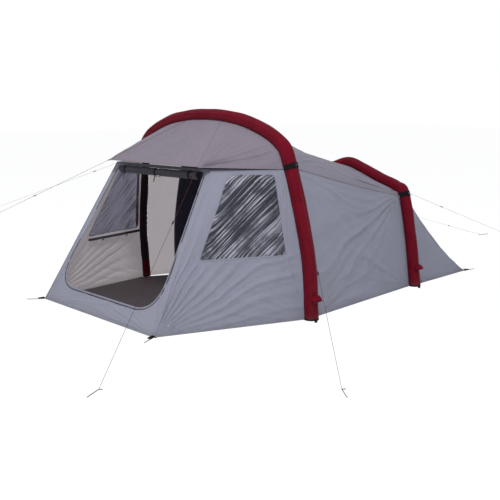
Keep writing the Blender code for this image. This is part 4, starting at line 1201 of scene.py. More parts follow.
def tube_mesh(name: str, path: Array, radius: float, sides: int, material: Material) -> Object:
    """A tube with closed ends along a route.

    Args:
        name: Its name.
        path: Its middle line.
        radius: Its radius.
        sides: How many sides it has.
        material: Its material.

    Returns:
        The new object.
    """
    tangent = unit(np.gradient(path, axis=0))
    lean = UP if abs(tangent[:, 2]).mean() < 0.8 else vec(1, 0, 0)
    side = unit(np.cross(tangent, lean))
    up = np.cross(side, tangent)
    turn = np.linspace(0, FULL_TURN, sides + 1)
    grid = round_about(path, radius * side[:, None], radius * up[:, None], turn)
    return close_up(grid_object(name, grid, [material]))


# Sub-assemblies


@dataclass
class Tent:
    """What every sub-assembly shares: paints, rows of small pieces and the record of stitches."""

    paints: Paints = field(default_factory=Paints)
    rows: RowOfPieces = field(default_factory=RowOfPieces)
    stitches: dict[Coat, list[Route]] = field(default_factory=dict)
    sheet_thickness: float = 0.0016
    seam_rise: float = 0.0016
    seam_floor: float = 0.0005
    stitch_lanes: tuple[float, ...] = (-0.32, 0.32)
    stitch_rise: float = 0.0017
    stitch_floor: float = 0.002
    stitch_pitch: float = 0.009
    stitch_size: Point = (0.006, 0.0010, 0.0008)

    def ride(self, item: Object, coat: Coat, *nodes: str) -> Object:
        """Fix a piece to the tent, and hide the CAD nodes that it stands for.

        Args:
            item: The piece.
            coat: Its material family.
            nodes: The CAD nodes that it stands for.

        Returns:
            The same piece.
        """
        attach(item, BODY)
        if nodes:
            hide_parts(*nodes)
        LOG.info("%s is %s", item.name, coat.value)
        return item

    def dress(self, finish: Worn, *nodes: str) -> None:
        """Give CAD nodes that stay a better material."""
        for node in nodes:
            frame["nodes"][node].data.materials[0] = self.paints.of(finish)

    def sheet(self, name: str, grid: Array, coat: Coat, finishes: tuple[Cloth, Cloth],
              inside: Array, pulls: tuple[Pull, ...], billow: float, seed: float, width: float,
              seams: str = "tblr", closed: bool = False, held: Held = Held.STRETCHED,
              rests_on: tuple[str, ...] = ("front_beam_sleeve",), floor: float = EDGE_GAP) -> None:
        """Args:
            name: Its name and its CAD node's.
            grid: Its smooth shape.
            coat: Its material family.
            finishes: Its outer and inner cloth.
            inside: A place that its faces turn away from.
            pulls: Fans of tension folds.
            billow: Height of the broad uneven hollows.
            seed: Shifts the noise.
            width: How far in from a seam the folds grow to full height.
            seams: The sewn edges, which stay where they are.
            closed: True where the columns go all the way round.
            held: How the cloth is held; not used.
            rests_on: What holds it; not used.
            floor: No point is lower than this.
        """
        normals = grid_normals(grid, inside, closed)
        height = fold_height(grid, normals, pulls, billow, seed) * edge_mask(grid.shape[:2], seams, width)
        if closed:
            height[:, -1] = height[:, 0]
        materials = [self.paints.of(finish) for finish in finishes]
        item = grid_object(name, grid + normals * height[..., None], materials, normals, floor)
        thicken(item, self.sheet_thickness, True)
        self.ride(item, coat, name)

    def strip(self, name: str, path: Array, up: Array, size: Pair,
              finish: Cloth | Ribbed, coat: Coat, floor: float | None = None,
              nodes: tuple[str, ...] = ()) -> None:
        """A closed strip along a route.

        Args:
            name: Its name.
            path: The middle of its back.
            up: The direction that it faces, once or for each point.
            size: Its width, and its rise in the middle.
            finish: Its cloth or webbing.
            coat: Its material family.
            floor: No point is lower than this.
            nodes: The CAD nodes that it stands for.
        """
        item = grid_object(name, ribbon_grid(path, up, *size), [self.paints.of(finish)], None, floor)
        self.ride(close_up(item), coat, *nodes)

    def seam(self, name: str, path: Array, up: Array, width: float, finish: Cloth, coat: Coat) -> None:
        """A raised felled seam or hem along a route, with two rows of stitches on it.

        Args:
            name: Its name.
            path: The middle of its back.
            up: The direction that it faces, once or for each point.
            width: Its width.
            finish: Its cloth.
            coat: Its material family, which also picks its thread.
        """
        up = np.broadcast_to(up, path.shape)
        self.strip(name, path, up, (width, self.seam_rise), finish, coat, self.seam_floor)
        side = np.cross(unit(np.gradient(path, axis=0)), up)
        for lane in self.stitch_lanes:
            row = path + side * width * lane + up * self.stitch_rise
            clear = row[:, 2] > self.stitch_floor
            self.stitches.setdefault(coat, []).append((row[clear], up[clear]))

    def sew(self) -> None:
        """Make the stitches of every seam, one piece for each thread."""
        for coat, routes in self.stitches.items():
            thread = self.paints.of(Ribbed(f"thread_{coat.value}", THREADS[coat], 0.001))
            self.ride(self.rows.along(f"stitches_{coat.value}", routes, self.stitch_pitch,
                                      self.stitch_size, thread), coat)


@dataclass
class Part:
    """A sub-assembly: its fields hold its sizes, and build makes its pieces."""

    tent: Tent

    def build(self) -> None:
        """Make every piece of the sub-assembly."""
        raise NotImplementedError


@dataclass
class Frame(Part):
    """The air beams' sleeves, their strap bands, hoods and feet."""

    sleeve_sides: int = 40
    sleeve_cloth: float = 0.0014
    sleeve_floor: float = 0.0006
    sleeve_proud: float = 0.0022
    turned_in_above: float = 0.2
    seam_turns: tuple[float, ...] = (1.25, 5.03)
    seam_width: float = 0.009
    band_width: float = 0.05
    band_lift: float = 0.0042
    band_cloth: float = 0.0022
    band_turn: float = 108.0
    band_thread: float = 0.019
    ring_size: Pair = (0.0085, 0.0016)
    hood_height: float = 0.19
    hood_radius: float = 0.0555
    hood_depth: float = 0.0635
    piping_radius: float = 0.0022
    tab_length: float = 0.062
    tab_size: Pair = (0.034, 0.0120)
    foot_height: float = 0.014
    foot_tab_size: Pair = (0.026, 0.006)

    def build(self) -> None:
        """Dress both beams from the feet up, and tie down the hem corners."""
        for word, arch in (("front", FRONT), ("rear", REAR)):
            self.sleeve(word, arch)
            for side, index in (("right", STRAP), ("left", LAST - STRAP)):
                self.strap(f"{word}_strap_{side}", arch, index)
            self.hood(word, arch)
            self.feet(word, arch)
        self.corner_tabs()
        self.tent.dress(VALVE, "front_valve", "rear_valve", "front_valve_cap", "rear_valve_cap")

    def ring_points(self, arch: Arch, radius: Array, turn: Array) -> Array:
        """Points round the sleeve for each place along it.

        Args:
            arch: The beam.
            radius: The reach at each place and turn.
            turn: The turns round the sleeve.

        Returns:
            The points, in rings.
        """
        _, outward, sideways = arch.frames()
        circle = spun(outward[:, None], sideways[:, None], turn)
        return arch.centre()[:, None] + circle * radius[..., None]

    def sleeve(self, word: str, arch: Arch) -> None:
        """The cloth sleeve, puckered along its seams and creased where it bends.

        Args:
            word: The beam's name.
            arch: The beam.
        """
        tent = self.tent
        turn = np.linspace(0, FULL_TURN, self.sleeve_sides + 1)
        centre = arch.centre()
        length = np.concatenate(([0], np.linalg.norm(np.diff(centre, axis=0), axis=1).cumsum()))
        bend = np.linalg.norm(np.gradient(np.gradient(centre, axis=0), axis=0), axis=1)
        bend = smooth(np.convolve(bend, np.ones(9) / 9, "same") / (bend.max() * 0.8))
        soft = np.array([[noise.noise(Vector((far * 5.5, math.cos(a) * 1.1, math.sin(a) * 1.1 + arch.y)))
                          for a in turn[:-1]] for far in length])
        soft = np.concatenate((soft, soft[:, :1]), axis=1)
        inner = smooth((-np.cos(turn) + 0.2) / 1.2)[None]
        pucker = np.abs(np.sin(length * 52))[:, None] ** 3 * inner * bend[:, None]
        near = sum(np.exp(-((np.abs(turn - at) % FULL_TURN) / 0.10) ** 2) for at in self.seam_turns)[None]
        radius = arch.radius + 0.0034 * soft - 0.0085 * pucker
        radius -= 0.0022 * near * (0.6 + 0.4 * np.sin(length * 240)[:, None])
        radius = np.minimum(radius, arch.radius + self.sleeve_proud)
        grid = self.ring_points(arch, radius, turn)
        grid[..., 2] = np.maximum(grid[..., 2], self.sleeve_floor)
        cloths = [tent.paints.of(SLEEVE_OUT), tent.paints.of(SLEEVE_IN)]
        item = grid_object(f"{word}_beam_cover", grid, cloths,
                           self.ring_points(arch, np.ones(soft.shape), turn) - centre[:, None])
        # Faces on the sleeve's arc that looks into the tent, above the set height, take the darker SLEEVE_IN
        # red
        for face in item.data.polygons:
            middle = face.center
            row = int(np.argmin(((centre - np.array(middle)) ** 2).sum(1)))
            depth = (Vector(centre[row]) - middle).dot(Vector(arch.normals[row]))
            turned_in = depth > arch.radius * 0.62 and middle.z > self.turned_in_above
            face.material_index = 1 if turned_in else 0
        thicken(item, self.sleeve_cloth)
        tent.ride(item, Coat.SLEEVE, f"{word}_beam_sleeve")
        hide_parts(f"{word}_air_bladder")
        for number, at in enumerate(self.seam_turns):
            ring = np.full((len(length), 1), arch.radius - 0.0012)
            path = self.ring_points(arch, ring, np.array((at,)))[:, 0]
            tent.seam(f"{word}_beam_seam_{number}", path[4:-4], unit(path - centre)[4:-4],
                      self.seam_width, SLEEVE_OUT, Coat.SLEEVE)

    def strap(self, name: str, arch: Arch, index: int) -> None:
        """A webbing band round the outer side of the sleeve, with its guy ring.

        Args:
            name: Its name and its CAD node's.
            arch: The beam.
            index: Where on the beam it sits.
        """
        tent = self.tent
        tangent, outward, sideways = (part[index] for part in arch.frames())
        centre = arch.centre()[index]
        half = math.radians(self.band_turn)
        turn = np.linspace(-half, half, 49)
        lanes = np.linspace(-self.band_width / 2, self.band_width / 2, 7)
        radius = arch.radius + self.band_lift
        circle = spun(outward, sideways, turn)
        grid = centre + circle[:, None] * radius + tangent[None, None] * lanes[None, :, None]
        item = grid_object(name, grid, [tent.paints.of(WEB)], circle[:, None])
        thicken(item, self.band_cloth)
        tent.ride(item, Coat.WEB, name)
        f"{name.split('_')[0]}_beam_sleeve"
        for offset in (-self.band_thread, self.band_thread):
            row = centre + circle * (radius + 0.0004) + tangent * offset
            tent.stitches.setdefault(Coat.WEB, []).append((row, circle))
        ring = ring_mesh(f"{name}_ring", centre + outward * (radius + 0.0060), np.cross(outward, tangent),
                         *self.ring_size, tent.paints.of(RING))
        tent.ride(ring, Coat.STEEL)

    def hood(self, word: str, arch: Arch) -> None:
        """The gathered cloth hood over the inflation valve, with its piping.

        Args:
            word: The beam's name.
            arch: The beam.
        """
        tent = self.tent
        centre = arch.centre()
        row = int(np.argmin(np.abs(centre[:STRAP, 2] - self.hood_height)))
        tangent, outward, _ = (part[row] for part in arch.frames())
        across = np.cross(tangent, outward)
        base = centre[row] + outward * (arch.radius * math.cos(HALF_FLAT) + 0.001)
        lift = np.linspace(0, math.radians(86), 19)
        turn = np.linspace(-0.06, math.pi + 0.06, 45)
        ripple = 1 - 0.05 * np.abs(np.sin(turn * 7))[None] * np.cos(lift)[:, None] ** 2
        out = (self.hood_depth * np.sin(lift))[:, None] * np.ones_like(turn)[None]
        wide = (self.hood_radius * np.cos(lift))[:, None] * ripple
        grid = (base + outward * out[..., None] + across * (wide * np.cos(turn)[None])[..., None]
                + tangent * (wide * np.sin(turn)[None])[..., None])
        name = f"{word}_valve_hood"
        item = grid_object(name, grid, [tent.paints.of(SLEEVE_OUT)], grid - (base - outward * 0.01))
        thicken(item, self.sleeve_cloth)
        tent.ride(item, Coat.SLEEVE, name)
        hem = np.vstack((grid[::-1, 0], grid[:, -1]))
        tent.ride(tube_mesh(f"{word}_hood_piping", hem, self.piping_radius, 8, tent.paints.of(PIPING)),
                  Coat.SLEEVE)

    def feet(self, word: str, arch: Arch) -> None:
        """A black binding and a webbing hook at the foot of each leg.

        Args:
            word: The beam's name.
            arch: The beam.
        """
        tent = self.tent
        centre = arch.centre()
        _, outward, sideways = arch.frames()
        turn = np.linspace(0, FULL_TURN, 41)
        for (side, sign), row in zip(SIDES, (2, LAST - 2)):
            circle = spun(outward[row], sideways[row], turn)
            ring = centre[row] + circle * (arch.radius + PROUD)
            grid = np.stack((ring, ring), axis=1)
            grid[:, 0, 2], grid[:, 1, 2] = EDGE_GAP, self.foot_height
            item = grid_object(f"{word}_foot_binding_{side}", grid, [tent.paints.of(WEB)], circle[:, None])
            thicken(item, -self.sleeve_cloth)
            tent.ride(item, Coat.WEB)
            start = centre[row] + vec(sign * (arch.radius + 0.001), 0, 0)
            start[2] = 0.004
            tab = np.stack([start + vec(sign * 0.012 * k, -0.014 * k, 0.006 * math.sin(k * 1.2))
                            for k in range(5)])
            tent.strip(f"{word}_foot_tab_{side}", tab, UP, self.foot_tab_size, WEB, Coat.WEB, EDGE_GAP)

    def corner_tabs(self) -> None:
        """Webbing tabs that hold each hem corner to its peg."""
        steps = np.linspace(0, 1, 9)[:, None]
        for word, corner, away in (("front", PORCH_CORNER, vec(0.35, -0.94, 0)),
                                   ("rear", REAR_CORNER, vec(0.2, 0.98, 0))):
            path = corner + unit(away) * 0.004 + UP * 0.010
            path = path + unit(away) * self.tab_length * steps - UP * 0.0055 * steps
            for side, sign in SIDES:
                self.tent.strip(f"{word}_corner_tab_{side}", on_side(path, sign), UP, self.tab_size, WEB,
                                Coat.WEB, EDGE_GAP)


@dataclass
class Fly(Part):
    """The porch, windows, canopy, roof, walls and sleeping end."""

    inside: Point = (0.0, 0.3, 0.6)
    panel_rows: int = 36
    wall_rows: int = 46
    body_rows: int = 116
    rear_rows: int = 64
    hem_width: float = 0.014
    seam_width: float = 0.012
    binding_width: float = 0.016
    canopy_hem_width: float = 0.018
    film_thickness: float = 0.0006
    film_ridge: float = 0.004
    film_flat: Pair = (0.70, 0.90)
    film_area: float = 0.62
    rear_floor: float = 0.0026

    def build(self) -> None:
        """Lay out the cloth from the porch back to the sleeping end."""
        self.porch()
        self.canopy()
        self.body()
        self.rear()

    def hem(self, name: str, start: Array, end: Array, steps: int, out: Array, push: Array) -> None:
        """A straight hem just above the ground.

        Args:
            name: Its name.
            start: The place on the ground where it starts.
            end: Where it ends.
            steps: Steps along it.
            out: The direction that it faces.
            push: The direction in which it stands proud.
        """
        path = line(start, end, steps) + push * PROUD + UP * HEM_RISE
        self.tent.seam(name, path, out, self.hem_width, FLY_OUT, Coat.FLY)

    def porch(self) -> None:
        """The front panel, both walls and both windows."""
        tent = self.tent
        corner, top = PORCH_CORNER, PORCH_TOP
        ends = (corner, top, mirrored(top), mirrored(corner), corner)
        border = np.vstack([line(a, b, SIDE_STEPS)[:-1] for a, b in zip(ends, ends[1:])])
        pulls = both_sides(Pull(corner, vec(0.86, -1.33, 0.45), 18, 22, 0.011, 1.8),
                           Pull(corner, vec(0.2, -1.42, 0.10), 14, 26, 0.009, 1.7))
        tent.sheet("porch_front_panel", band(border, DOOR_LOOP, self.panel_rows), Coat.FLY, (FLY_OUT, FLY_IN),
                   vec(*self.inside), pulls, 0.003, 1.0, 0.16, "bt", True)
        seam = FRONT.seam(-1)
        foot = seam[0]
        low, high, _, back_low = window_corners()
        pulls = (Pull(corner, back_low, 30, 26, 0.019, 2.1),
                 Pull(corner, (low + high) / 2, 14, 26, 0.012, 1.5),
                 Pull(foot, corner * 0.6 + low * 0.4, 34, 15, 0.009, 1.1),
                 Pull(seam[STRAP], back_low, 20, 26, 0.008, 1.1))
        wall = band(wall_border(), WINDOW_LOOP, self.wall_rows)
        glass = coons(WINDOW_LOOP, SIDE_STEPS)
        ring = np.vstack((WINDOW_LOOP, WINDOW_LOOP[:1]))
        out = unit(np.cross(high - low, back_low - low)) * -1
        for word, side in SIDES:
            tent.sheet(f"porch_wall_{word}", on_side(wall, side), Coat.FLY, (FLY_OUT, PORCH_IN),
                       vec(*self.inside), tuple(pull.on(side) for pull in pulls), 0.004, 2.0 + side, 0.10,
                       "bt", True)
            self.window(word, side, on_side(glass, side))
            tent.seam(f"window_binding_{word}", on_side(ring, side), on_side(out, side), self.binding_width,
                      FLY_OUT, Coat.FLY)
            tent.seam(f"porch_corner_seam_{word}", on_side(line(corner, top, 80), side),
                      unit(PORCH_FACE + vec(side, 0, 0)), self.hem_width, FLY_OUT, Coat.FLY)
            self.hem(f"porch_wall_hem_{word}", on_side(foot, side), on_side(corner, side), 60,
                     unit(vec(side * 0.95, -0.25, 0.15)), vec(side, 0, 0))
        self.hem("porch_front_hem", mirrored(corner), corner, 80, PORCH_FACE, vec(0, -1, 0))
        door = np.vstack((DOOR_LOOP[SIDE_STEPS * 2:], DOOR_LOOP[:SIDE_STEPS + 1]))
        tent.seam("door_binding", door + PORCH_FACE * 0.0004, PORCH_FACE, self.seam_width, FLY_OUT, Coat.FLY)

    def window(self, word: str, side: int, grid: Array) -> None:
        """A crinkled clear film.

        Args:
            word: The side's name.
            side: 1 on the right, -1 on the left.
            grid: The film's smooth shape.
        """
        normals = grid_normals(grid, vec(*self.inside), False)
        low, _, back_high, _ = window_corners()
        ahead = on_side(unit(back_high - low), side)
        flat = grid.reshape(-1, 3)
        across = (flat - flat.mean(0)) @ unit(np.cross(normals.mean((0, 1)), ahead))
        along = (flat - flat.mean(0)) @ ahead
        wander = np.array([noise.noise(Vector((a * 1.5, c * 3, 4.0))) for a, c in zip(along, across)])
        ridges = (1 - np.abs(np.sin(across * 70 + wander * 3))) ** 2 - 0.3
        height = self.film_ridge * ridges.reshape(grid.shape[:2]) * edge_mask(grid.shape[:2], "tblr", 0.05)
        item = grid_object(f"window_{word}", grid + normals * height[..., None], [self.tent.paints.film()],
                           normals)
        thicken(item, self.film_thickness)
        self.tent.ride(item, Coat.FILM, f"window_{word}")

    def canopy(self) -> None:
        """The canopy's top and side triangles, drawn to the guyed tips."""
        tent = self.tent
        finishes = (CANOPY_OUT, CANOPY_IN)
        inside = vec(0, 0.2, 0.5)
        seam = FRONT.seam(-1)
        arch = seam[SEAM:LAST - SEAM + 1]
        front = line(TIP, mirrored(TIP), len(arch) - 1)
        pulls = both_sides(Pull(TIP, vec(0.1, -0.35, 1.65), 24, 17, 0.013, 1.7),
                           Pull(TIP, vec(0.0, -0.78, 1.43), 10, 30, 0.008, 1.5),
                           Pull(vec(0.35, -0.2, 1.75), vec(0.1, -0.8, 1.42), 26, 12, 0.008, 1.2))
        tent.sheet("canopy_top", line(front, arch, 48), Coat.CANOPY, finishes, inside, pulls, 0.005, 5.0,
                   0.08)
        arc = seam[STRAP:SEAM + 1]
        fan = line(TIP, arc, 56)
        pulls = (Pull(TIP, vec(1.05, -0.2, 1.50), 34, 20, 0.014, 1.3),
                 Pull(arc[0], TIP + vec(0, 0.1, 0.08), 20, 26, 0.005, 0.6))
        for word, side in SIDES:
            tent.sheet(f"canopy_side_{word}", on_side(fan, side), Coat.CANOPY, finishes, inside,
                       tuple(pull.on(side) for pull in pulls), 0.004, 6.0 + side, 0.08)
            tent.seam(f"canopy_seam_{word}", on_side(line(TIP, seam[SEAM], 70), side),
                      unit(vec(side * 0.45, -0.35, 0.8)), self.seam_width, CANOPY_OUT, Coat.CANOPY)
            edge = line(TIP, arc[0] + vec(0, -0.002, 0.0), 60)
            tent.seam(f"canopy_edge_{word}", on_side(edge, side), unit(vec(side * 0.7, -0.5, 0.5)),
                      self.hem_width, CANOPY_OUT, Coat.CANOPY)
        tent.seam("canopy_hem", line(TIP, mirrored(TIP), 90) + vec(0, 0.006, 0.004),
                  unit(vec(0, -0.55, 0.83)), self.canopy_hem_width, CANOPY_OUT, Coat.CANOPY)

    def body(self) -> None:
        """The roof and the two long walls."""
        tent = self.tent
        grid = body_grid(self.body_rows)
        far = LAST - STRAP
        inside = vec(0, 0.95, 0.4)
        rests = ("front_beam_sleeve", "rear_beam_sleeve")
        for (word, side), part in zip(SIDES, (grid[:, :STRAP + 1], grid[:, far:][:, ::-1])):
            front_foot, front_top = part[0, 0], part[0, -1]
            rear_foot, rear_top = part[-1, 0], part[-1, -1]
            pulls = (Pull(rear_top, front_foot * 0.75 + front_top * 0.25, 22, 17, 0.020, 2.8),
                     Pull(front_top, rear_foot * 0.5 + rear_top * 0.5, 17, 20, 0.013, 2.2),
                     Pull(rear_foot, front_top * 0.6 + front_foot * 0.4, 20, 16, 0.013, 1.8),
                     Pull(front_foot, rear_top * 0.45 + rear_foot * 0.55, 18, 18, 0.012, 1.8))
            tent.sheet(f"fly_wall_{word}", part, Coat.FLY, (FLY_OUT, FLY_IN), inside, pulls, 0.010,
                       9.0 + side, 0.05, rests_on=rests)
            tent.seam(f"fly_wall_hem_{word}", part[:, 0] + vec(side * PROUD, 0, 0.009),
                      unit(vec(side, 0, 0.1)), self.hem_width, FLY_OUT, Coat.FLY)
            up = on_side(unit(FRONT.normals[STRAP] + vec(0, 0, 0.4)), side)
            tent.seam(f"roof_seam_{word}", part[:, -1], up, self.seam_width, ROOF_OUT, Coat.CANOPY)
        roof = grid[:, STRAP:far + 1]
        pulls = (Pull(roof[0, 0], roof[-1, 2 * SPAN], 20, 18, 0.014, 2.2),
                 Pull(roof[0, -1], roof[-1, -2 * SPAN], 20, 18, 0.014, 2.2),
                 Pull(roof[-1, 0], roof[0, 2 * SPAN], 20, 18, 0.011, 1.8),
                 Pull(roof[-1, -1], roof[0, -2 * SPAN], 20, 18, 0.011, 1.8))
        tent.sheet("fly_roof", roof, Coat.CANOPY, (ROOF_OUT, CANOPY_IN), inside, pulls, 0.007, 12.0, 0.05,
                   rests_on=rests)

    def rear(self) -> None:
        """The sloping cover of the sleeping end."""
        tent = self.tent
        grid = rear_grid(self.rear_rows)
        seam = REAR.seam(1)
        corner, top, foot = REAR_CORNER, seam[STRAP], seam[0]
        pulls = both_sides(Pull(corner, vec(0.75, 2.0, 0.5), 26, 16, 0.014, 1.7),
                           Pull(corner, vec(0.0, 2.3, 0.6), 26, 20, 0.009, 1.6),
                           Pull(top, vec(0.3, 2.7, 0.2), 24, 24, 0.007, 1.1))
        tent.sheet("rear_end_panel", grid, Coat.FLY, (FLY_OUT, FLY_IN), vec(0, 2.1, 0.1), pulls, 0.006, 15.0,
                   0.07, "tb", rests_on=("rear_beam_sleeve",), floor=self.rear_floor)
        self.hem("rear_hem", corner, mirrored(corner), 70, unit(vec(0, 0.8, 0.6)), vec(0, 1, 0))
        for word, side in SIDES:
            self.hem(f"rear_flank_hem_{word}", on_side(foot, side), on_side(corner, side), 50,
                     unit(vec(side, 0.2, 0.15)), vec(side, 0, 0))
            tent.seam(f"rear_ridge_{word}", on_side(grid[:, STRAP], side), unit(vec(side * 0.8, 0.35, 0.5)),
                      self.seam_width, FLY_OUT, Coat.FLY)


@dataclass
class Inner(Part):
    """The sleeping cabin and the floors."""

    outline_steps: int = 120
    forward_steps: int = 30
    rear_steps: int = 16
    back_steps: int = 12
    front_gap: float = 0.0016
    zip_gap: float = 0.009
    tray_lip: float = 0.001
    floor_rise: float = 0.003
    floor_cloth: float = 0.0014
    floor_flat: Pair = (2.8, 2.7)
    floor_area: float = 7.5
    porch_flat: Pair = (2.75, 1.75)
    porch_rise: float = 0.0018
    porch_floor: float = 0.0016
    zip_size: Pair = (0.014, 0.002)
    zip_half: float = 0.62
    zip_foot: float = 0.24
    zip_height: float = 1.12

    def build(self) -> None:
        """Hang the cabin, close its front and lay the floors."""
        self.cabin()
        self.front_wall()
        self.tray()
        self.groundsheet()

    def cabin(self) -> None:
        """The cabin's roof, sides and back."""
        ys = np.concatenate((np.linspace(INNER_FRONT_Y, REAR.y, self.forward_steps + 1),
                             np.linspace(REAR.y, INNER_REAR_Y, self.rear_steps + 1)[1:]))
        grid = np.stack([inner_outline(y, self.outline_steps) for y in ys])
        back = line(grid[-1], vec(0, INNER_REAR_Y, RIM), self.back_steps)[1:]
        grid = np.concatenate((grid, back))
        grid[..., 2] = np.maximum(grid[..., 2], RIM)
        self.tent.sheet("inner_canopy", grid, Coat.INNER, (INNER_OUT, INNER_RIM), vec(0, 1.2, 0.5), (),
                        0.012, 20.0, 0.03, held=Held.HUNG, rests_on=("fly_roof",), floor=RIM)

    def front_wall(self) -> None:
        """The cabin's closed front, with its zipped door outlined."""
        tent = self.tent
        half = inner_outline(INNER_FRONT_Y, 192)[:97]
        grid = line(half, mirrored(half), 60).swapaxes(0, 1)
        grid[..., 1] = INNER_FRONT_Y - self.front_gap
        pulls = (*both_sides(Pull(vec(1.24, 0.3, 0.15), vec(0.3, 0.3, 1.4), 26, 26, 0.006, 1.5)),
                 Pull(vec(-1.0, 0.3, 1.4), vec(-0.4, 0.3, 0.4), 22, 26, 0.006, 1.2))
        tent.sheet("inner_front_wall", grid, Coat.INNER, (INNER_OUT, INNER_OUT), vec(0, 1.0, 0.8), pulls,
                   0.004, 21.0, 0.05, held=Held.HUNG, rests_on=("inner_canopy",), floor=RIM)
        turn = np.linspace(0, math.pi, 60)
        arc = np.stack((self.zip_half * np.cos(turn), np.full(60, INNER_FRONT_Y - self.zip_gap),
                        self.zip_foot + self.zip_height * np.sin(turn) ** 0.72), axis=1)
        door = np.vstack((arc, line(arc[-1], arc[0], 30)[1:]))
        tent.strip("inner_door_zip", door, vec(0, -1, 0), self.zip_size, ZIP_CLOTH, Coat.ZIP)

    def tray(self) -> None:
        """The cabin's floor, turned up to its rim."""
        tent = self.tent
        front, rear = inner_outline(INNER_FRONT_Y)[0, 0], inner_outline(INNER_REAR_Y)[0, 0]
        plan = [vec(front, INNER_FRONT_Y, 0), vec(rear, INNER_REAR_Y, 0), vec(-rear, INNER_REAR_Y, 0),
                vec(-front, INNER_FRONT_Y, 0)]
        loop = np.vstack([line(plan[k], plan[(k + 1) % 4], 50)[:-1] for k in range(4)])
        loop = np.vstack((loop, loop[:1]))
        middle = vec(0, (INNER_FRONT_Y + INNER_REAR_Y) / 2, 0)
        rim = [loop + UP * height for height in np.linspace(RIM - self.tray_lip, self.floor_rise, 9)]
        grid = np.concatenate((rim, line(loop, middle, 24)[1:] + UP * self.floor_rise))
        out = np.concatenate((grid[:9] - middle, np.broadcast_to(-UP, grid[9:].shape)))
        item = grid_object("inner_floor", grid, [tent.paints.of(FLOOR)] * 2, out, 0.0)
        thicken(item, self.floor_cloth, True)
        tent.ride(item, Coat.FLOOR, "inner_floor")

    def groundsheet(self) -> None:
        """The porch groundsheet, with small waves that run in from its front corners."""
        tent = self.tent
        arch_half = FRONT.half[0][0] - FRONT.radius * math.cos(HALF_FLAT) - 0.0005
        cabin = inner_outline(INNER_FRONT_Y)[0, 0]
        half = [vec(1.0245, -1.435, 0), vec(1.370, -0.078, 0), vec(arch_half - 0.004, 0.0, 0),
                vec(cabin, INNER_FRONT_Y - 0.0005, 0)]
        side = np.vstack((line(half[0], half[1], 60)[:-1], line(half[1], half[2], 5)[:-1],
                          line(half[2], half[3], 14)))
        grid = line(side, mirrored(side), 80).swapaxes(0, 1)
        pulls = both_sides(Pull(vec(0.97, -1.42, 0), vec(0, 0, 0), 30, 18, 0.004, 1.6))
        relief = fold_height(grid, UP, pulls, 0.003, 30.0)
        relief = np.maximum(relief, 0.0) * edge_mask(grid.shape[:2], "tblr")
        grid = grid + UP * (self.porch_rise + relief)[..., None]
        item = grid_object("porch_groundsheet", grid, [tent.paints.of(FLOOR)] * 2, UP, self.porch_floor)
        thicken(item, self.floor_cloth, True)
        tent.ride(item, Coat.FLOOR, "porch_groundsheet")


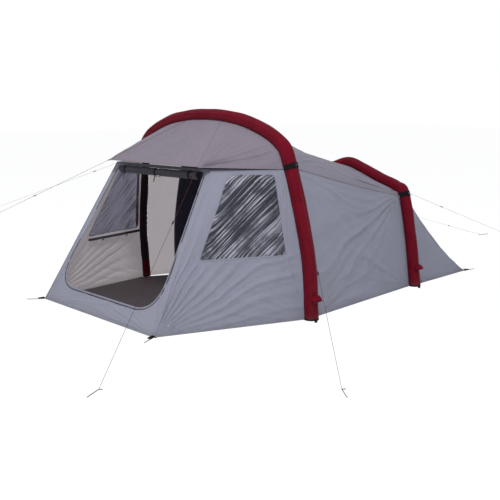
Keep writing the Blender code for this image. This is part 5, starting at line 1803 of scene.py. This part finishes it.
@dataclass
class Openings(Part):
    """The rolled door with its ties, the curtains, and the door's zip."""

    roll_drop: float = 0.045 + 0.0005 + 0.002 + 0.0003
    roll_half: float = 0.68
    roll_radius: float = 0.0445
    roll_turns: int = 3
    roll_cloth: float = 0.0030
    roll_ties: tuple[float, ...] = (0.088, 0.5, 0.912)
    tie_places: tuple[tuple[str, float], ...] = (("left", -0.56), ("middle", 0.0), ("right", 0.56))
    tie_radius: float = 0.0462
    tie_width: float = 0.018
    tie_cloth: float = 0.0016
    tail_size: Pair = (0.014, 0.002)
    curtain_radius: float = 0.0165
    curtain_turns: int = 2
    curtain_ties: tuple[float, ...] = (0.25, 0.72)
    curtain_stand: float = 0.0223
    curtain_drop: float = 0.03
    loop_size: Pair = (0.0172, 0.0016)
    toggle_drop: float = 0.022
    toggle_half: float = 0.014
    toggle_radius: float = 0.0045
    tape_size: Pair = (0.0085, 0.0012)
    tape_lift: float = 0.0008
    tooth_lift: float = 0.0024
    tooth_pitch: float = 0.0032
    tooth_size: Point = (0.0018, 0.0045, 0.0014)

    def build(self) -> None:
        """Roll up the door and the curtains, and fit the zip."""
        self.door()
        self.curtains()
        self.door_zip()

    def roll(self, name: str, start: Array, end: Array, radius: float, turns: int,
             ties: tuple[float, ...], finish: Cloth, coat: Coat, side: int = 1) -> None:
        """Cloth wound into a spiral, drawn in at its ties.

        Args:
            name: The roll's name and its CAD node's.
            start: One end of its axis, on the right half.
            end: The other end.
            radius: Its outer radius.
            turns: How often the cloth goes round.
            ties: Where the ties sit, as shares of its length.
            finish: Its cloth.
            coat: Its material family.
            side: -1 to make its mirror image.
        """
        axis = unit(end - start)
        across = unit(np.cross(axis, UP))
        up = np.cross(across, axis)
        steps = turns * 24
        angle = np.linspace(0, FULL_TURN * turns, steps + 1)
        pitch = (radius - 0.0035) / turns * 0.93
        reach = radius - pitch * angle / FULL_TURN
        places = np.linspace(0, 1, 90)
        length = float(np.linalg.norm(end - start))
        around = spun(across, up, angle)
        sections = []
        for share in places:
            pinch = 1 - sum(0.10 * math.exp(-((share - tie) * length / 0.035) ** 2) for tie in ties)
            wave = np.array([noise.noise(Vector((share * length * 7, math.cos(a) * 0.8,
                                                 math.sin(a) * 0.8 + a * 0.15))) for a in angle])
            wide = reach * pinch * (1 + 0.05 * wave - 0.02)
            outer = around * wide[:, None]
            inner = around * np.maximum(wide - self.roll_cloth, 0.001)[:, None]
            sections.append(np.vstack((outer, inner[::-1], outer[:1])) + start * (1 - share) + end * share)
        item = grid_object(name, on_side(np.stack(sections), side), [self.tent.paints.of(finish)])
        work = bmesh.new()
        work.from_mesh(item.data)
        work.verts.ensure_lookup_table()
        count = 2 * (steps + 1)
        for base in (0, (len(places) - 1) * count):
            for k in range(steps):
                corners = [work.verts[base + at] for at in (k, k + 1, count - 2 - k, count - 1 - k)]
                if not work.faces.get(corners):
                    work.faces.new(corners)
        bmesh.ops.recalc_face_normals(work, faces=work.faces)
        work.to_mesh(item.data)
        work.free()
        item.data.shade_smooth()
        self.tent.ride(item, coat, name)

    def door(self) -> None:
        """The door rolled up under its top edge, and its three webbing ties with their tails."""
        tent = self.tent
        _, y, z = door_corners(0.0)[1] - PORCH_UP * self.roll_drop
        # The roll's cloth carries painted shade, for the shadow under the canopy
        self.roll("door_roll", vec(-self.roll_half, y, z), vec(self.roll_half, y, z), self.roll_radius,
                  self.roll_turns, self.roll_ties, ROLLED_PAINTED_SHADE, Coat.FLY)
        turn = np.linspace(0, FULL_TURN, 49)
        for word, x in self.tie_places:
            centre = vec(x, y, z)
            ring = centre + self.tie_radius * spun(vec(0, 1, 0), UP, turn)
            half = self.tie_width / 2
            grid = np.stack([ring + vec(shift, 0, 0) for shift in np.linspace(-half, half, 5)], axis=1)
            item = grid_object(f"door_tie_{word}", grid, [tent.paints.of(WEB)], grid - centre)
            thicken(item, self.tie_cloth)
            tent.ride(item, Coat.WEB, f"door_tie_{word}")
            low = centre - vec(0, 0.040, 0.030)
            tail = np.stack([low + vec(0.004 * math.sin(k), -0.004 * k ** 0.5, -0.012 * k)
                             for k in range(6)])
            tent.strip(f"door_tie_tail_{word}", tail, vec(0, -1, 0), self.tail_size, WEB, Coat.WEB)

    def curtains(self) -> None:
        """The window curtains rolled down to the sill inside the walls, with loops and toggles."""
        tent = self.tent
        low, high, _, back = window_corners()
        inward = unit(np.cross(high - low, back - low))
        stand = inward * self.curtain_stand - UP * self.curtain_drop
        start, end = low + stand, back + stand
        plastic, cord = tent.paints.of(TOGGLE), tent.paints.of(ELASTIC)
        for word, side in SIDES:
            self.roll(f"curtain_roll_{word}", start, end, self.curtain_radius, self.curtain_turns,
                      self.curtain_ties, CURTAIN, Coat.CURTAIN, side)
            axis = unit(on_side(end - start, side))
            for number, share in enumerate(self.curtain_ties):
                centre = on_side(start * (1 - share) + end * share, side)
                tent.ride(ring_mesh(f"curtain_loop_{word}_{number}", centre, axis, *self.loop_size, cord),
                          Coat.WEB)
                half = self.toggle_half
                path = (centre - UP * self.toggle_drop + on_side(inward, side) * 0.004
                        + axis * np.linspace(-half, half, 5)[:, None])
                tent.ride(tube_mesh(f"curtain_toggle_{word}_{number}", path, self.toggle_radius, 10, plastic),
                          Coat.PLASTIC)

    def door_zip(self) -> None:
        """The door zip's tape and teeth."""
        tent = self.tent
        third = SIDE_STEPS // 3
        route = np.vstack((ZIP_LOOP[SIDE_STEPS * 2 + third:], ZIP_LOOP[:SIDE_STEPS - third + 1]))
        tent.strip("door_zip_tape", route + PORCH_FACE * self.tape_lift, PORCH_FACE, self.tape_size,
                   ZIP_CLOTH, Coat.ZIP, nodes=("door_zip",))
        row = (route + PORCH_FACE * self.tooth_lift, PORCH_FACE)
        tent.ride(tent.rows.along("door_zip_teeth", [row], self.tooth_pitch, self.tooth_size,
                                  tent.paints.of(TEETH)), Coat.ZIP)
        tent.dress(SLIDER, "zip_slider")
        tent.dress(TOGGLE, "zip_pull")


@dataclass(frozen=True)
class Guy:
    """One taut line: its name, its two ends, its colour, and whether a peg holds it."""

    word: str
    start: Point
    end: Point
    color: Point
    pegged: bool


GUYS = (
    Guy("front_right", (0.778279, -0.805411, 1.409664), (1.946, -2.525, 0.006), (0.080, 0.006, 0.012), True),
    Guy("front_left", (-0.778389, -0.805381, 1.409748), (-1.712, -1.719, 0.804), (0.06, 0.06, 0.07), False),
    Guy("side_right", (1.293582, -0.0882, 1.421255), (3.039, -1.233, 0.006), (0.060, 0.018, 0.022), True),
    Guy("side_left", (-1.293582, -0.0882, 1.421255), (-2.82, -1.24, 0.752), (0.45, 0.45, 0.46), False),
    Guy("rear_right", (0.912869, 1.906, 1.007578), (0.85, 3.86, 0.355), (0.50, 0.50, 0.52), False),
    Guy("rear_left", (-0.912869, 1.906, 1.007578), (-0.83, 5.60, 0.006), (0.50, 0.50, 0.52), True),
)


@dataclass
class Guys(Part):
    """Guy lines with their knots, runners, end loops and pegs."""

    diameter: float = 0.003
    line_steps: int = 15
    braid_pitch: float = 0.004
    braid_fleck: float = 0.12
    knot_at: float = 0.010
    knot_turns: int = 4
    knot_half: float = 0.007
    knot_radius: float = 0.0031
    knot_cord: float = 0.0015
    loop_back: float = 0.012
    loop_size: Pair = (0.010, 0.0015)

    def build(self) -> None:
        """Give pegs and runners their materials, and run each line."""
        nodes = frame["nodes"]
        self.tent.dress(PEG, *(name for name in nodes if "peg_" in name))
        self.tent.dress(RUNNER, *(name for name in nodes if name.startswith("runner_")))
        for guy in GUYS:
            self.run(guy)

    def run(self, guy: Guy) -> None:
        """One braided line as a curve, with a knot at its tie and what ends it.

        Args:
            guy: The line.
        """
        tent = self.tent
        braid = tent.paints.of(Ribbed(f"braid_{guy.word}", guy.color, self.braid_pitch, self.braid_fleck))
        points = line(np.array(guy.start), np.array(guy.end), self.line_steps)
        curve = bpy.data.curves.new(f"guy_{guy.word}", "CURVE")
        curve.dimensions = "3D"
        curve.bevel_depth = self.diameter / 2
        curve.bevel_resolution = 3
        curve.use_fill_caps = True
        spline = curve.splines.new("POLY")
        spline.points.add(len(points) - 1)
        for slot, point in zip(spline.points, points):
            slot.co = (*point, 1.0)
        item = tent.ride(link(f"guy_line_{guy.word}", curve, [braid]), Coat.CORD, f"guy_{guy.word}")
        along = unit(points[-1] - points[0])
        knot = self.knot(f"guy_knot_{guy.word}", points[0] + along * self.knot_at, along, braid)
        pieces = [tent.ride(knot, Coat.CORD)]
        if guy.pegged:
            pieces.append(frame["nodes"][f"guy_peg_{guy.word}"])
        else:
            loop = ring_mesh(f"guy_loop_{guy.word}", points[-1] - along * self.loop_back,
                             np.cross(along, UP), *self.loop_size, braid)
            pieces.append(tent.ride(loop, Coat.CORD))

    def knot(self, name: str, centre: Array, along: Array, material: Material) -> Object:
        """A small knot wrapped round the line.

        Args:
            name: Its name.
            centre: Its middle, on the line.
            along: The line's direction.
            material: The line's material.

        Returns:
            The new object.
        """
        side = unit(np.cross(along, UP))
        up = np.cross(side, along)
        turn = np.linspace(0, FULL_TURN * self.knot_turns, 65)
        path = (centre + along * np.linspace(-self.knot_half, self.knot_half, 65)[:, None]
                + self.knot_radius * spun(side, up, turn))
        return tube_mesh(name, path, self.knot_cord, 8, material)


# Stage


@dataclass
class Studio:
    """Camera, floor, sky and lights. The focal length is in pixels of the photograph's frame."""

    focal: float = 882.4
    frame_pixels: float = 500.0
    sensor: float = 36.0
    far_clip: float = 200.0
    eye: Point = (7.212, -5.446, 1.95)
    forward: Point = (-0.76524, 0.62321, -0.16129)
    roll: float = -0.338
    floor_half: float = 60.0
    floor_z: float = -0.0005
    floor_glow: float = 1.12
    floor_share: float = 0.80
    dome_low: Point = (0.31, 0.32, 0.35)
    dome_high: Point = (0.56, 0.58, 0.63)
    aim: Point = (0.3, 0.4, 0.7)
    lamps: tuple[tuple[str, Point, float, float], ...] = (
        ("key", (5.0, -3.9, 7.9), 500.0, 1.4), ("fill", (-5.0, -6.5, 4.5), 110.0, 4.0))

    def build(self) -> None:
        """Set the stage, the camera first."""
        self.camera()
        self.floor()
        self.sky()
        self.lights()

    def camera(self) -> None:
        """The photograph's viewpoint."""
        data = bpy.data.cameras.new("view")
        data.sensor_width = self.sensor
        data.lens = self.focal * self.sensor / self.frame_pixels
        data.clip_end = self.far_clip
        item = link("view", data, [])
        aimed = Vector(self.forward).to_track_quat("-Z", "Y")
        rolled = aimed @ Quaternion((0, 0, 1), math.radians(self.roll))
        item.matrix_world = Matrix.LocRotScale(Vector(self.eye), rolled, None)
        bpy.context.scene.camera = item

    def floor(self) -> None:
        """A wide pale floor."""
        half, z = self.floor_half, self.floor_z
        mesh = bpy.data.meshes.new("floor")
        mesh.from_pydata([(-half, -half, z), (half, -half, z), (half, half, z), (-half, half, z)], [],
                         [(0, 1, 2, 3)])
        material = bpy.data.materials.new("floor_pale")
        material.use_nodes = True
        graph = Graph(material.node_tree)
        mottle = graph.noise(graph.place(), 0.8, 3.0)
        shader = graph.fill(graph.surface, {
            "Base Color": graph.mix(mottle, (0.80, 0.80, 0.81, 1.0), (0.84, 0.84, 0.85, 1.0)),
            "Roughness": 0.9})
        glow = graph.node("ShaderNodeEmission", (1.0, 1.0, 1.0, 1.0), self.floor_glow)
        seen = graph.node("ShaderNodeLightPath").outputs["Is Camera Ray"]
        graph.show(graph.blend(graph.times(seen, self.floor_share), shader, glow))
        link("studio_floor", mesh, [material])

    def sky(self) -> None:
        """White to the camera, a soft dome to everything else."""
        world = bpy.data.worlds.new("studio")
        world.use_nodes = True
        bpy.context.scene.world = world
        graph = Graph(world.node_tree)
        path = graph.node("ShaderNodeLightPath").outputs
        seen = graph.math("MAXIMUM", path["Is Camera Ray"], path["Is Transmission Ray"])
        up = graph.split(graph.node("ShaderNodeTexCoord").outputs["Generated"])[2]
        dome = graph.mix(graph.band(up, -0.1, 0.9), (*self.dome_low, 1.0), (*self.dome_high, 1.0))
        graph.fill(world.node_tree.nodes["Background"], {
            "Color": graph.mix(seen, dome, (1.0, 1.0, 1.0, 1.0)), "Strength": 1.0})
        bpy.context.scene.view_settings.view_transform = "Standard"

    def lights(self) -> None:
        """A key light high on the camera's side and a weak, broad one from its left."""
        for name, place, power, size in self.lamps:
            data = bpy.data.lights.new(name, "AREA")
            data.energy = power
            data.size = size
            item = link(name, data, [])
            item.location = place
            item.visible_glossy = False
            item.rotation_mode = "QUATERNION"
            item.rotation_quaternion = (Vector(self.aim) - Vector(place)).to_track_quat("-Z", "Y")


def main() -> None:
    """Build the looks in order, the camera and the cords first, and report each piece."""
    logging.basicConfig(level=logging.INFO, format="%(name)s: %(message)s")
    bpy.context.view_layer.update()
    Studio().build()
    tent = Tent()
    for part in (Guys, Frame, Fly, Inner, Openings):
        part(tent).build()
        LOG.info("%s done", part.__name__)
    tent.sew()


if __name__ == "__main__":
    main()
